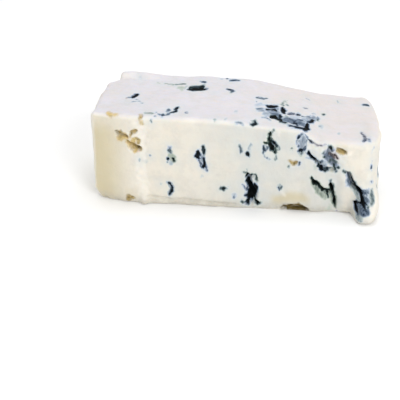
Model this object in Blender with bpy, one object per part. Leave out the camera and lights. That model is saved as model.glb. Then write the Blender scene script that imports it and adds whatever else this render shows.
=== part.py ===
"""A portion of gorgonzola, cut from a wheel and lying on a flat base.

One solid of soft blue cheese. Metres, +Z up. +X runs along the slab to its thin end, -Y is
the front, and the origin is under the middle of the solid's box, on the surface it lies on.

The form starts as a finely divided cube. Its points are carried to a block with rounded
edges, the block is given the slab's outline and its falling top, the soft lobes and the
slumped toe are pushed out, and the mould caverns, cracks and curd holes are pressed in.
The flat stretches are then thinned out, so that most triangles lie round the hollows.
"""

import bmesh
import bpy
import numpy as np
from mathutils import Vector, noise

MM = 0.001

# Driving sizes of the slab
LEFT_X = -66.0 * MM
RIGHT_X = 63.5 * MM
DEPTH = 53.0 * MM
THICK_END = 43.0 * MM
THIN_END_BACK = 37.0 * MM

# Rounding of the block: the wire leaves the top edges soft and the base edges tight
TOP_ROUND = 2.6 * MM
BASE_ROUND = 1.3 * MM
THIN_END_ROUND = 4.6 * MM
THIN_END_ROUND_FROM = 0.4
THIN_END_ROUND_AT_BASE = 0.35

# The thick end's corner is cut back from the front face, beyond this crease
CREASE_X = -42.0 * MM
CREASE_SETBACK = 3.6 * MM
CREASE_CURVE = 1.6
FRONT_LEAN = 1.0 * MM

# The thick end's back corner is notched, and its foot is tucked in
CORNER_CUT = 4.6 * MM
CORNER_CUT_FROM_Y = 13.0 * MM
CORNER_CUT_TO_Y = 21.0 * MM
FOOT_TUCK = 2.6 * MM
FOOT_TUCK_HEIGHT = 6.0 * MM
FOOT_TUCK_LENGTH = 12.0 * MM

# The thin end swells in its middle, more to the front than to the back
FRONT_SWELL = 6.0 * MM
BACK_SWELL = 3.8 * MM
SWELL_FROM_X = 19.0 * MM
SWELL_POWER = 4
BACK_GROWTH = 0.8 * MM
BACK_TAPER = 1.8 * MM
BACK_TAPER_FROM = 36.0 * MM

# Where the top starts and stops falling, along the front edge and along the back edge
FRONT_DROP = 3.8 * MM
FRONT_FALL = (-22.0 * MM, 44.0 * MM)
BACK_FALL = (-4.0 * MM, 44.0 * MM)

# Next to the thin end the top's front edge slumps down steeply
SLUMP_DROP = 4.2 * MM
SLUMP = (27.5 * MM, 37.0 * MM)

# The top rises a little to the back, and most in a low swelling on that side
BACK_RISE = 0.75 * MM
BACK_RISE_FROM = (-44.0 * MM, -26.0 * MM)
SWELLING_HEIGHT = 0.6 * MM
SWELLING_X = -15.0 * MM
SWELLING_HALF_LENGTH = 16.0 * MM

# A low lip stands along the back edge, next to the thick end
LIP_HEIGHT = 2.6 * MM
LIP_WIDTH = 8.0 * MM
LIP_CREST_WIDTH = 2.0 * MM
LIP_FULL_X = -57.5 * MM
LIP_END_X = -24.0 * MM
LIP_POWER = 4

# Cells of the cube along X, Y and Z before thinning, and the triangles left after it
CELLS = (128, 54, 44)
TRIANGLES_LEFT = 8200

# Soft unevenness of the cut faces
SWELL_SIZE = 17.0 * MM
SWELL_HEIGHT = 0.7 * MM
CRUMB_SIZE = 5.5 * MM
CRUMB_HEIGHT = 0.30 * MM

# The hollows' outlines wander by these amounts, over stretches of these sizes
WANDER = [(0.75 * MM, 4.6 * MM), (0.45 * MM, 2.1 * MM)]
WANDER_SEED = 11
DEPTH_WANDER = 0.4
DEPTH_WANDER_SIZE = 2.6 * MM

# On the top the wire drew the hollows out: their width counts for less than their length
TOP_SQUEEZE = (1.0, 0.55, 1.0)

# The shares of its reach between which a hollow's wall rises, and a lobe's side falls
HOLLOW_WALL = (0.25, 1.1)
LOBE_SIDE = (0.15, 1.0)
LOBE_FADE_DEPTH = (4.0, 16.0)
FIT_ROUNDS = 6

# The edge round the base is broken, and is moved level with the floor
RAGGED_EDGE_TOP = 3.0 * MM
RAGGED_EDGE_DEPTH = 1.5 * MM
RAGGED_SIZE = 4.2 * MM
RAGGED_UPRIGHT = 0.4
LEVEL_BELOW = 4.0 * MM
FACING_DOWN = -0.9
FLOOR_SNAP = 0.12 * MM
WELD_DISTANCE = 0.01 * MM

# Seeds of the noises
SWELL_SEED = 1
CRUMB_SEED = 2
RAGGED_SEED = 3
DEPTH_SEED = 21

CHEESE_COLOUR = (0.83, 0.80, 0.73, 1.0)
CHEESE_ROUGHNESS = 0.45
CHEESE_SUBSURFACE = 0.2
CHEESE_SUBSURFACE_RADIUS = (4.0 * MM, 3.0 * MM, 2.0 * MM)

HALF_LENGTH = (RIGHT_X - LEFT_X) / 2
MIDDLE_X = (RIGHT_X + LEFT_X) / 2
HALF_DEPTH = DEPTH / 2

# Soft lobes that stand proud of each face: place on the face, reach and height, in mm.
# A place is (x, z) on the front and back, (x, y) on the top and (y, z) on the ends.
# A lobe with a start rises between those two places, which move along by the lean's share of the height.
LOBES = {
    "front": [
        dict(
            name="slumped toe", at=(56.3, 3.6), reach=(10.5, 13.5), height=10.5, start=(51.0, 54.6),
            lean=0.12,
        ),
        dict(name="tooth between two cracks", at=(48.5, 9.0), reach=(5.0, 12.0), height=1.4),
        dict(name="belly left of the cracks", at=(35.5, 7.5), reach=(8.0, 11.0), height=1.7),
        dict(name="flake at the foot of the crease", at=(-42.0, 1.5), reach=(3.2, 4.0), height=1.6),
    ],
    "right": [
        dict(name="side of the toe", at=(-24.5, 5.0), reach=(10.0, 12.5), height=2.6, fade=(0.5, 6.0)),
        dict(name="thin end shoulder", at=(-10.0, 8.0), reach=(12.0, 11.0), height=1.2),
    ],
    "back": [
        dict(name="fold beside the back crack", at=(46.0, 10.0), reach=(7.0, 12.0), height=1.5),
        dict(name="back foot", at=(-20.0, 5.0), reach=(12.0, 7.0), height=1.2),
    ],
}

# Hollows pressed into each face, in mm: the path's points are two places on the face and the
# reach there, and the depth is that of the middle
HOLLOWS = {
    "front": [
        dict(
            name="curd hole, left",
            path=[(-53.6, 34.8, 0.73), (-52.6, 32.7, 1.19), (-49.6, 33.2, 1.09)],
            depth=2.6,
        ),
        dict(
            name="curd hole, right",
            path=[(-48.4, 30.8, 0.92), (-46.3, 29.3, 1.74), (-44.4, 27.7, 1.65)],
            depth=3.2,
        ),
        dict(
            name="curd pit",
            path=[(-47.1, 34.9, 0.68), (-45.8, 36.2, 1.09), (-44.4, 36.9, 0.77)],
            depth=1.6,
        ),
        dict(
            name="black cavern",
            path=[(4.9, 17.2, 1.1), (6.6, 10.1, 2.14), (7.5, 7.3, 2.75), (7.3, 4.6, 2.24)],
            depth=4.4,
        ),
        dict(name="cavern curl", path=[(6.1, 16.0, 0.9), (8.8, 16.3, 0.75), (9.2, 14.3, 0.7)], depth=1.2),
        dict(name="cavern's left foot", path=[(6.6, 4.8, 1.22), (4.8, 2.9, 0.92)], depth=1.8),
        dict(name="cavern's right foot", path=[(8.1, 4.8, 1.22), (10.6, 3.0, 0.87)], depth=1.8),
        dict(
            name="stem vein",
            path=[(14.4, 38.4, 0.53), (14.6, 33.9, 0.98), (15.0, 31.1, 1.47)],
            depth=1.3,
        ),
        dict(
            name="slanting crack",
            path=[(33.7, 15.8, 0.75), (36.8, 14.0, 1.05), (39.2, 11.4, 1.11), (41.2, 9.9, 0.96)],
            depth=2.6,
        ),
        dict(
            name="hollow under the front",
            path=[(22.4, 0.1, 3.17), (27.4, 0.1, 3.38), (30.9, 0.2, 2.76)],
            depth=3.4,
        ),
        dict(
            name="hair crack",
            path=[(-30.4, 11.1, 0.6), (-29.7, 9.2, 0.65), (-30.1, 5.8, 0.61)],
            depth=0.9,
        ),
        dict(name="arch vein", path=[(27.8, 37.5, 0.9), (27.2, 33.8, 1.09), (27.7, 30.4, 0.91)], depth=1),
        dict(name="pin hole", path=[(25.2, 23.9, 0.81), (26.4, 24.8, 0.59)], depth=1.4),
        dict(
            name="crack under the top",
            path=[(31.3, 35.3, 0.45), (32.8, 34.5, 0.62), (35.0, 33.9, 0.47), (37.9, 34.0, 0.44)],
            depth=1.8,
        ),
        dict(
            name="ragged vein",
            path=[
                (31.1, 29.5, 0.77), (33.9, 26.4, 0.88), (36.3, 23.3, 1.29), (38.4, 22.2, 1.4),
                (42.3, 22.5, 1.02),
            ],
            depth=2,
        ),
        dict(
            name="ragged vein, high",
            path=[(39.5, 31.9, 0.73), (40.5, 28.6, 1.54), (41.4, 25.2, 1.55)],
            depth=2,
        ),
        dict(name="curd recess", path=[(43.0, 31.8, 0.73), (46.5, 30.4, 0.82)], depth=1.8),
        dict(
            name="upright crack",
            path=[(42.0, 14.7, 0.67), (42.5, 11.2, 0.94), (44.4, 6.8, 0.95), (44.7, 3.1, 0.8)],
            depth=2.8,
        ),
        dict(
            name="great crack",
            path=[
                (49.2, 20.5, 0.92), (51.0, 14.6, 1.13), (54.1, 12.7, 1.17), (55.3, 11.7, 1.31),
                (54.9, 9.9, 1.16), (54.5, 8.5, 1.04), (53.4, 6.6, 0.93), (53.7, 4.1, 0.79),
            ],
            depth=4.6,
        ),
        dict(
            name="line above the ledge",
            path=[(-41.0, 3.8, 0.7), (-30.0, 3.4, 0.8), (-16.0, 2.6, 0.8), (0.0, 2.0, 0.7)],
            depth=0.8,
        ),
    ],
    "top": [
        dict(
            name="nick over the crease",
            path=[(-42.4, -25.3, 0.68), (-42.0, -26.8, 0.58), (-41.6, -27.3, 0.4)],
            depth=1.4,
        ),
        dict(
            name="black lens",
            path=[(-24.4, 8.6, 1.65), (-21.5, 9.1, 2.04), (-17.8, 9.5, 1.75)],
            depth=0.55,
        ),
        dict(name="black point", path=[(-50.1, -2.1, 1.15), (-49.0, -0.6, 1.25)], depth=0.5),
        dict(
            name="row of specks",
            path=[(-33.2, -23.8, 0.81), (-30.8, -18.7, 0.82), (-27.7, -15.3, 0.83)],
            depth=0.4,
        ),
        dict(
            name="great vein, back",
            path=[(12.3, -5.0, 1.28), (15.7, -5.9, 1.79), (20.0, -5.0, 1.49)],
            depth=0.7,
        ),
        dict(
            name="great vein, front",
            path=[(14.5, -16.2, 1.25), (17.1, -15.8, 1.75), (23.1, -19.1, 1.29), (30.3, -19.9, 1.48)],
            depth=0.7,
        ),
        dict(
            name="great vein, tail",
            path=[(21.8, -9.5, 0.96), (30.2, -8.3, 1.07), (33.7, -7.0, 1.28)],
            depth=0.5,
        ),
        dict(
            name="crescent",
            path=[(5.0, -24.1, 0.78), (6.8, -25.8, 1.02), (8.2, -23.3, 0.93)],
            depth=0.5,
        ),
        dict(name="vein at the thin end", path=[(54.0, -16.6, 0.96), (56.8, -22.6, 1.04)], depth=0.5),
    ],
    "back": [
        dict(name="cavern", path=[(-24.0, 24.0, 2.6), (-18.5, 15.5, 3.6), (-17.0, 9.0, 2.6)], depth=3.8),
        dict(name="cavern's side arm", path=[(-18.5, 15.5, 2.0), (-11.5, 19.0, 1.5)], depth=2.2),
        dict(name="crack", path=[(10.0, 31.0, 1.1), (15.0, 22.5, 1.5), (14.0, 12.0, 1.3)], depth=2.7),
        dict(name="fold crack", path=[(33.5, 24.0, 1.3), (38.5, 14.5, 1.7), (38.0, 3.0, 1.7)], depth=3.4),
        dict(name="curd hole", path=[(-47.0, 30.5, 2.4), (-43.5, 28.5, 2.8)], depth=3.2),
        dict(name="pin hole", path=[(-2.5, 33.0, 1.6), (-1.0, 33.4, 1.4)], depth=1.8),
    ],
    "right": [
        dict(name="end crack", path=[(-9.0, 27.0, 1.3), (-4.5, 19.0, 1.6), (-6.5, 8.0, 1.5)], depth=3),
        dict(name="end cavern", path=[(7.0, 21.0, 2.7), (11.0, 14.0, 3.0)], depth=3.2),
        dict(name="end pin hole", path=[(4.0, 29.0, 1.5), (5.0, 29.6, 1.4)], depth=1.6),
    ],
    "left": [
        dict(name="thick end curd hole", path=[(6.0, 26.5, 2.4), (10.5, 24.5, 2.2)], depth=2.8),
        dict(name="thick end pin hole", path=[(-10.0, 13.0, 1.5), (-8.6, 13.6, 1.5)], depth=1.6),
        dict(name="thick end crack", path=[(15.0, 12.0, 1.1), (17.5, 4.0, 1.1)], depth=1.6),
    ],
}

FACE_AXES = {"front": (0, 2), "back": (0, 2), "top": (0, 1), "left": (1, 2), "right": (1, 2)}
FACE_START = {
    "front": (0.0, -HALF_DEPTH, 0.0),
    "back": (0.0, HALF_DEPTH, 0.0),
    "top": (0.0, 0.0, THICK_END),
    "left": (LEFT_X, 0.0, 0.0),
    "right": (RIGHT_X, 0.0, 0.0),
}
FACE_OUTWARD = {
    "front": Vector((0, -1, 0)),
    "back": Vector((0, 1, 0)),
    "right": Vector((1, 0, 0)),
}


def smoothstep(low, high, value):
    """0 below low, 1 above high, and an even S between them."""
    share = np.clip((value - low) / (high - low), 0.0, 1.0)
    return share * share * (3.0 - 2.0 * share)


def divided_cube(cells):
    """A closed cube from -1 to 1, cut into an even grid along each axis."""
    grid = bmesh.new()
    bmesh.ops.create_cube(grid, size=2.0)
    for axis, count in enumerate(cells):
        along = [
            edge
            for edge in grid.edges
            if abs(edge.verts[0].co[axis] - edge.verts[1].co[axis]) > 1e-6
        ]
        bmesh.ops.subdivide_edges(grid, edges=along, cuts=count - 1, use_grid_fill=True)
    return grid


def rounded_block(cube):
    """Carries points of the cube to a block of the slab's size with rounded edges."""
    half = np.array([HALF_LENGTH, HALF_DEPTH, THICK_END / 2])
    block = cube * half
    lift = smoothstep(-1.0, 1.0, cube[:, 2])
    towards_thin_end = smoothstep(THIN_END_ROUND_FROM, 1.0, cube[:, 0])
    wider = THIN_END_ROUND_AT_BASE + (1.0 - THIN_END_ROUND_AT_BASE) * lift
    radius = BASE_ROUND + (TOP_ROUND - BASE_ROUND) * lift
    radius = radius + (THIN_END_ROUND - TOP_ROUND) * towards_thin_end * wider
    core = half - radius[:, None]
    inner = np.clip(block, -core, core)
    out = block - inner
    length = np.linalg.norm(out, axis=1)
    turned = inner + out * (radius / np.maximum(length, 1e-9))[:, None]
    return turned + (MIDDLE_X, 0.0, half[2])


def share_to_back(y):
    """0 on the front face, 1 on the back face."""
    return np.clip(0.5 + y / DEPTH, 0.0, 1.0)


def top_height(x, y):
    """Thickness of the slab over a point of its plan."""
    front = FRONT_DROP * smoothstep(*FRONT_FALL, x) + SLUMP_DROP * smoothstep(*SLUMP, x)
    back = (THICK_END - THIN_END_BACK) * smoothstep(*BACK_FALL, x)
    swelling = 1.0 - smoothstep(0.0, SWELLING_HALF_LENGTH, np.abs(x - SWELLING_X))
    back = back - BACK_RISE * smoothstep(*BACK_RISE_FROM, x) - SWELLING_HEIGHT * swelling
    return THICK_END - front - (back - front) * share_to_back(y)


def slab_form(block):
    """Bends the rounded block to the slab's outline and gives it the falling top."""
    x, y, z = block.T
    to_back = share_to_back(y)
    rise = z / THICK_END

    past_crease = np.clip((CREASE_X - x) / (CREASE_X - LEFT_X), 0.0, 1.0)
    new_y = y + CREASE_SETBACK * past_crease**CREASE_CURVE * (1.0 - to_back)
    new_y = new_y + BACK_GROWTH * to_back
    new_y = new_y - BACK_TAPER * smoothstep(BACK_TAPER_FROM, RIGHT_X, x) * to_back
    new_y = new_y - FRONT_LEAN * rise * (1.0 - to_back)

    to_thick_end = np.clip((RIGHT_X - x) / (RIGHT_X - LEFT_X), 0.0, 1.0) ** 2
    at_thick_end = 1.0 - smoothstep(LEFT_X, LEFT_X + FOOT_TUCK_LENGTH, x)
    to_thin_end = smoothstep(SWELL_FROM_X, RIGHT_X, x)
    swell = np.where(y < 0.0, FRONT_SWELL, BACK_SWELL)
    new_x = x + CORNER_CUT * smoothstep(CORNER_CUT_FROM_Y, CORNER_CUT_TO_Y, y) * to_thick_end
    new_x = new_x + FOOT_TUCK * (1.0 - smoothstep(0.0, FOOT_TUCK_HEIGHT, z)) * at_thick_end
    new_x = new_x - swell * (y / HALF_DEPTH) ** SWELL_POWER * to_thin_end

    new_z = rise * top_height(x, y)
    near_back = smoothstep(HALF_DEPTH - LIP_WIDTH, HALF_DEPTH - LIP_CREST_WIDTH, y)
    near_end = 1.0 - smoothstep(LIP_FULL_X, LIP_END_X, x)
    new_z = new_z + LIP_HEIGHT * near_back * near_end * rise**LIP_POWER
    return np.column_stack([new_x, new_y, new_z])


def on_face(face, place):
    """The point of the slab at a place given in mm on one of its faces."""
    raw = np.array([FACE_START[face]])
    axes = list(FACE_AXES[face])
    wanted = np.array(place) * MM
    raw[0, axes] = wanted
    for _ in range(FIT_ROUNDS):
        raw[0, axes] += wanted - slab_form(raw)[0, axes]
    return slab_form(raw)[0]


def along_path(points, face, path):
    """How far each point is from a path on a face, and the path's reach at its nearest place."""
    squeeze = np.array(TOP_SQUEEZE) if face == "top" else np.ones(3)
    points = points * squeeze
    feet = [on_face(face, place[:2]) * squeeze for place in path]
    reaches = [place[2] * MM for place in path]
    best = np.full(len(points), np.inf)
    reach = np.zeros(len(points))
    for start, end, start_reach, end_reach in zip(feet[:-1], feet[1:], reaches[:-1], reaches[1:]):
        line = end - start
        share = np.clip(((points - start) @ line) / (line @ line), 0.0, 1.0)
        away = np.linalg.norm(points - start - share[:, None] * line, axis=1)
        here = start_reach + (end_reach - start_reach) * share
        nearer = away - here < best - reach
        best = np.where(nearer, away, best)
        reach = np.where(nearer, here, reach)
    return best, reach


def noise_at(points, size, seed):
    """Smooth noise from -1 to 1 with features of the given size."""
    offset = Vector((seed * 7.31, seed * 3.17, seed * 5.59))
    return np.array([noise.noise(Vector(point) / size + offset) for point in points])


def wandered(points, normals):
    """The points shifted a little along the surface, so that distances give uneven outlines."""
    shift = np.zeros_like(points)
    for step, (reach, size) in enumerate(WANDER):
        seed = WANDER_SEED + step
        offset = Vector((seed * 7.31, seed * 3.17, seed * 5.59))
        shift += reach * np.array([noise.noise_vector(Vector(p) / size + offset) for p in points])
    return points + shift - normals * np.sum(shift * normals, axis=1)[:, None]


def lobe_push(points):
    """How far the soft lobes move each point, as a vector."""
    push = np.zeros_like(points)
    for face, lobes in LOBES.items():
        outward = np.array(FACE_OUTWARD[face])
        first, second = FACE_AXES[face]
        for lobe in lobes:
            centre = on_face(face, lobe["at"])
            across, upward = lobe["reach"]
            away = np.hypot(
                (points[:, first] - centre[first]) / (across * MM),
                (points[:, second] - centre[second]) / (upward * MM),
            )
            behind = (centre - points) @ outward / MM
            fade = lobe.get("fade", LOBE_FADE_DEPTH)
            share = (1.0 - smoothstep(*LOBE_SIDE, away)) * (1.0 - smoothstep(*fade, behind))
            if "start" in lobe:
                leaning = points[:, first] - lobe["lean"] * points[:, second]
                share = share * smoothstep(*lobe["start"], leaning / MM)
            push += outward * (lobe["height"] * MM * share)[:, None]
    return push


def hollow_depth(points, normals):
    """How deep the hollows are pressed in at each point."""
    shifted = wandered(points, normals)
    depth = np.zeros(len(points))
    for face, hollows in HOLLOWS.items():
        for hollow in hollows:
            away, reach = along_path(shifted, face, hollow["path"])
            pressed = hollow["depth"] * MM * (1.0 - smoothstep(*HOLLOW_WALL, away / reach))
            depth = np.maximum(depth, pressed)
    return depth * (1.0 + DEPTH_WANDER * noise_at(points, DEPTH_WANDER_SIZE, DEPTH_SEED))


def broken_edge(points):
    """How far the broken edge round the base is set back at each point."""
    chips = np.clip(noise_at(points * (1, 1, RAGGED_UPRIGHT), RAGGED_SIZE, RAGGED_SEED), 0.0, 1.0)
    return RAGGED_EDGE_DEPTH * chips * (1.0 - smoothstep(0.0, RAGGED_EDGE_TOP, points[:, 2]))


def sculpt(grid):
    """Moves the grid's points from the cube to the finished surface."""
    cube = np.array([vert.co for vert in grid.verts])
    points = slab_form(rounded_block(cube))
    for vert, point in zip(grid.verts, points):
        vert.co = point
    grid.normal_update()
    normals = np.array([vert.normal for vert in grid.verts])

    swell = SWELL_HEIGHT * noise_at(points, SWELL_SIZE, SWELL_SEED)
    crumb = CRUMB_HEIGHT * noise_at(points, CRUMB_SIZE, CRUMB_SEED)
    inward = hollow_depth(points, normals) + broken_edge(points) - swell - crumb
    inward[normals[:, 2] < FACING_DOWN] = 0.0

    outward = normals.copy()
    outward[:, 2] *= smoothstep(0.0, LEVEL_BELOW, points[:, 2])
    outward /= np.maximum(np.linalg.norm(outward, axis=1), 1e-9)[:, None]
    moved = points - outward * inward[:, None] + lobe_push(points)
    moved[:, 2] = np.maximum(moved[:, 2], 0.0)
    for vert, point in zip(grid.verts, moved):
        vert.co = point


def cheese_material():
    """Pale, softly shining curd."""
    material = bpy.data.materials.new("creamy curd")
    material.use_nodes = True
    shader = material.node_tree.nodes["Principled BSDF"]
    shader.inputs["Base Color"].default_value = CHEESE_COLOUR
    shader.inputs["Roughness"].default_value = CHEESE_ROUGHNESS
    shader.inputs["Subsurface Weight"].default_value = CHEESE_SUBSURFACE
    shader.inputs["Subsurface Radius"].default_value = CHEESE_SUBSURFACE_RADIUS
    material.diffuse_color = CHEESE_COLOUR
    return material


def thinned(source, triangles):
    """A copy of the mesh with its flat stretches drawn in fewer, larger triangles."""
    block = bpy.data.objects.new("dense slab", source)
    bpy.context.scene.collection.objects.link(block)
    decimate = block.modifiers.new("thin out flat stretches", "DECIMATE")
    decimate.decimate_type = "COLLAPSE"
    decimate.ratio = triangles / sum(len(face.vertices) - 2 for face in source.polygons)
    decimate.use_collapse_triangulate = True
    graph = bpy.context.evaluated_depsgraph_get()
    result = bpy.data.meshes.new_from_object(block.evaluated_get(graph))
    bpy.data.objects.remove(block)
    return result


def settle(mesh):
    """Sets the base flat on the floor and the origin under the middle of the solid's box."""
    work = bmesh.new()
    work.from_mesh(mesh)
    for vert in work.verts:
        if vert.co.z < FLOOR_SNAP:
            vert.co.z = 0.0
    bmesh.ops.remove_doubles(work, verts=work.verts, dist=WELD_DISTANCE)
    bmesh.ops.triangulate(work, faces=work.faces)
    bmesh.ops.recalc_face_normals(work, faces=work.faces)
    places = np.array([vert.co for vert in work.verts])
    middle = (places.min(axis=0) + places.max(axis=0)) / 2
    bmesh.ops.translate(work, verts=work.verts, vec=(-middle[0], -middle[1], 0.0))
    work.to_mesh(mesh)
    work.free()


def build_slab(collection):
    """The whole slab as one named object."""
    grid = divided_cube(CELLS)
    sculpt(grid)
    dense = bpy.data.meshes.new("dense slab")
    grid.to_mesh(dense)
    grid.free()
    mesh = thinned(dense, TRIANGLES_LEFT)
    settle(mesh)
    mesh.name = "gorgonzola_slab"
    mesh.materials.clear()
    mesh.materials.append(cheese_material())
    mesh.shade_smooth()
    slab = bpy.data.objects.new("gorgonzola_slab", mesh)
    collection.objects.link(slab)


def main():
    for old in list(bpy.data.objects):
        bpy.data.objects.remove(old)
    collection = bpy.data.collections.new("gorgonzola")
    bpy.context.scene.collection.children.link(collection)
    build_slab(collection)


main()
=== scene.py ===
import math
import random

import bmesh
import bpy
import numpy as np
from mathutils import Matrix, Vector, noise


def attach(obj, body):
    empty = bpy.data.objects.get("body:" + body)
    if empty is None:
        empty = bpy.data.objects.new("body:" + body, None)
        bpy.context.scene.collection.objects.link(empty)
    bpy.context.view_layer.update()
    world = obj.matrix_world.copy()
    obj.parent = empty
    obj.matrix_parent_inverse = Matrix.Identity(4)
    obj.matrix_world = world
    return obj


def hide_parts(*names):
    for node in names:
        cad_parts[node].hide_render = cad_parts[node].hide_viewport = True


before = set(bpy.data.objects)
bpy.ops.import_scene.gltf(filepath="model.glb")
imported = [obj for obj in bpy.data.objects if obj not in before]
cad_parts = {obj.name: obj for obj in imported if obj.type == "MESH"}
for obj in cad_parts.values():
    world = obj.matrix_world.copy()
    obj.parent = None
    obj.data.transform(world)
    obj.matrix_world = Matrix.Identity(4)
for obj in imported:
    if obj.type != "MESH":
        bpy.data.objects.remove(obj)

mm = 0.001
noise.seed_set(11)  # without it Blender offsets its vector noise by the clock
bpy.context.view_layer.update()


# The block and its outline: the same sizes as the solid that this piece stands for

slab = {
    "leftX": -66.0,
    "rightX": 63.5,
    "depth": 53.0,
    "thickEnd": 43.0,
    "thinEndBack": 37.0,
    "cells": (250, 74, 90),  # along X, Y and Z; 190,640 triangles
    "topRound": 2.6,
    "baseRound": 1.3,
    "thinEndRound": 4.6,
    "thinEndRoundFrom": 0.4,  # the share of the half length where this rounding begins
    "thinEndRoundAtBase": 0.35,  # the share of it that the base edge takes
    "creaseX": -42.0,
    "creaseSetback": 3.6,
    "creaseCurve": 1.6,
    "cornerCut": 4.6,  # the notch in the thick end's back corner
    "cornerCutAt": (13.0, 21.0),
    "footTuck": 2.6,  # the thick end's foot
    "footTuckHeight": 6.0,
    "footTuckLength": 12.0,
    "frontLean": 1.0,
    "frontSwell": 6.0,  # how far the thin end's middle stands out past its corners
    "backSwell": 3.8,
    "swellFromX": 19.0,
    "swellPower": 4,
    "backGrowth": 0.8,
    "backTaper": 1.8,
    "backTaperFrom": 36.0,
    "frontFall": (3.8, -22.0, 44.0),  # drop, start and end of the slow fall along the front
    "frontStep": (4.2, 27.5, 37.0),  # the same of the slump next to the thin end
    "backFall": (-4.0, 44.0),
    "backRise": 0.75,
    "backRiseAt": (-44.0, -26.0),
    "swelling": (0.6, -15.0, 16.0),  # height, middle and half length of a low rise at the back
    "lipHeight": 2.6,
    "lipFullX": -57.5,
    "lipEndX": -24.0,
    "lipRise": (8.0, 2.0),  # it starts and is full so far in front of the back edge
    "lipPower": 4,
}

halfLength = (slab["rightX"] - slab["leftX"]) / 2
middleX = (slab["rightX"] + slab["leftX"]) / 2
halfDepth = slab["depth"] / 2


def smoothstep(low, high, value):
    share = np.clip((value - low) / (high - low), 0.0, 1.0)
    return share * share * (3.0 - 2.0 * share)


def noiseAt(points, size, seed):
    # one octave of smooth noise, features of that size in mm, from -1 to 1
    offset = Vector((seed * 7.31, seed * 3.17, seed * 5.59))
    return np.array([noise.noise(Vector(p) / size + offset) for p in points])


def warpAt(points, size, seed):
    offset = Vector((seed * 7.31, seed * 3.17, seed * 5.59))
    return np.array([noise.noise_vector(Vector(p) / size + offset) for p in points])


def dividedCube(cells):
    grid = bmesh.new()
    bmesh.ops.create_cube(grid, size=2.0)
    for axis, count in enumerate(cells):
        along = [e for e in grid.edges if abs(e.verts[0].co[axis] - e.verts[1].co[axis]) > 1e-6]
        bmesh.ops.subdivide_edges(grid, edges=along, cuts=count - 1, use_grid_fill=True)
    return grid


def roundedBlock(cube):
    half = np.array([halfLength, halfDepth, slab["thickEnd"] / 2])
    block = cube * half
    lift = smoothstep(-1.0, 1.0, cube[:, 2])
    thinShare = smoothstep(slab["thinEndRoundFrom"], 1.0, cube[:, 0])
    atBase = slab["thinEndRoundAtBase"]
    radius = slab["baseRound"] + (slab["topRound"] - slab["baseRound"]) * lift
    growth = (slab["thinEndRound"] - slab["topRound"]) * thinShare
    radius = radius + growth * (atBase + (1.0 - atBase) * lift)
    inner = np.clip(block, radius[:, None] - half, half - radius[:, None])
    out = block - inner
    length = np.maximum(np.linalg.norm(out, axis=1), 1e-9)
    turned = inner + out * (radius / length)[:, None]
    return turned + (middleX, 0.0, half[2])


def shareToBack(y):
    return np.clip(0.5 + y / slab["depth"], 0.0, 1.0)


def topHeight(x, y):
    falls = (slab["frontFall"], slab["frontStep"])
    front = sum(drop * smoothstep(start, end, x) for drop, start, end in falls)
    back = (slab["thickEnd"] - slab["thinEndBack"]) * smoothstep(*slab["backFall"], x)
    height, middle, reach = slab["swelling"]
    back = back - slab["backRise"] * smoothstep(*slab["backRiseAt"], x)
    back = back - height * (1.0 - smoothstep(0.0, reach, np.abs(x - middle)))
    return slab["thickEnd"] - front - (back - front) * shareToBack(y)


def slabForm(block):
    x, y, z = block.T
    toBack = shareToBack(y)
    rise = z / slab["thickEnd"]
    pastCrease = np.clip((slab["creaseX"] - x) / (slab["creaseX"] - slab["leftX"]), 0.0, 1.0)
    newY = y + slab["creaseSetback"] * pastCrease ** slab["creaseCurve"] * (1.0 - toBack)
    newY += slab["backGrowth"] * toBack
    newY -= slab["backTaper"] * smoothstep(slab["backTaperFrom"], slab["rightX"], x) * toBack
    newY -= slab["frontLean"] * rise * (1.0 - toBack)

    toThickEnd = np.clip((slab["rightX"] - x) / (2 * halfLength), 0.0, 1.0) ** 2
    atThickEnd = 1.0 - smoothstep(slab["leftX"], slab["leftX"] + slab["footTuckLength"], x)
    toThinEnd = smoothstep(slab["swellFromX"], slab["rightX"], x)
    newX = x + slab["cornerCut"] * smoothstep(*slab["cornerCutAt"], y) * toThickEnd
    newX += slab["footTuck"] * (1.0 - smoothstep(0.0, slab["footTuckHeight"], z)) * atThickEnd
    swell = np.where(y < 0.0, slab["frontSwell"], slab["backSwell"])
    newX -= swell * (y / halfDepth) ** slab["swellPower"] * toThinEnd

    lipStart, lipFull = slab["lipRise"]
    nearBack = smoothstep(halfDepth - lipStart, halfDepth - lipFull, y)
    nearEnd = 1.0 - smoothstep(slab["lipFullX"], slab["lipEndX"], x)
    newZ = rise * topHeight(x, y)
    newZ += slab["lipHeight"] * nearBack * nearEnd * rise ** slab["lipPower"]
    return np.column_stack([newX, newY, newZ])


faceAxes = {"front": (0, 2), "back": (0, 2), "top": (0, 1), "left": (1, 2), "right": (1, 2)}
drawnOut = np.array([1.0, 0.55, 1.0])  # on top a mark reaches further from front to back


def onFace(face, place):
    # a place in mm on one face: (x, z) in front and behind, (x, y) on top, (y, z) at the ends
    raw = {
        "front": [0.0, -halfDepth, 0.0],
        "back": [0.0, halfDepth, 0.0],
        "top": [0.0, 0.0, slab["thickEnd"]],
        "left": [slab["leftX"], 0.0, 0.0],
        "right": [slab["rightX"], 0.0, 0.0],
    }[face]
    raw = np.array([raw])
    axes = list(faceAxes[face])
    raw[0, axes] = place
    for _ in range(6):
        raw[0, axes] += place - slabForm(raw)[0, axes]
    return slabForm(raw)[0]


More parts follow.
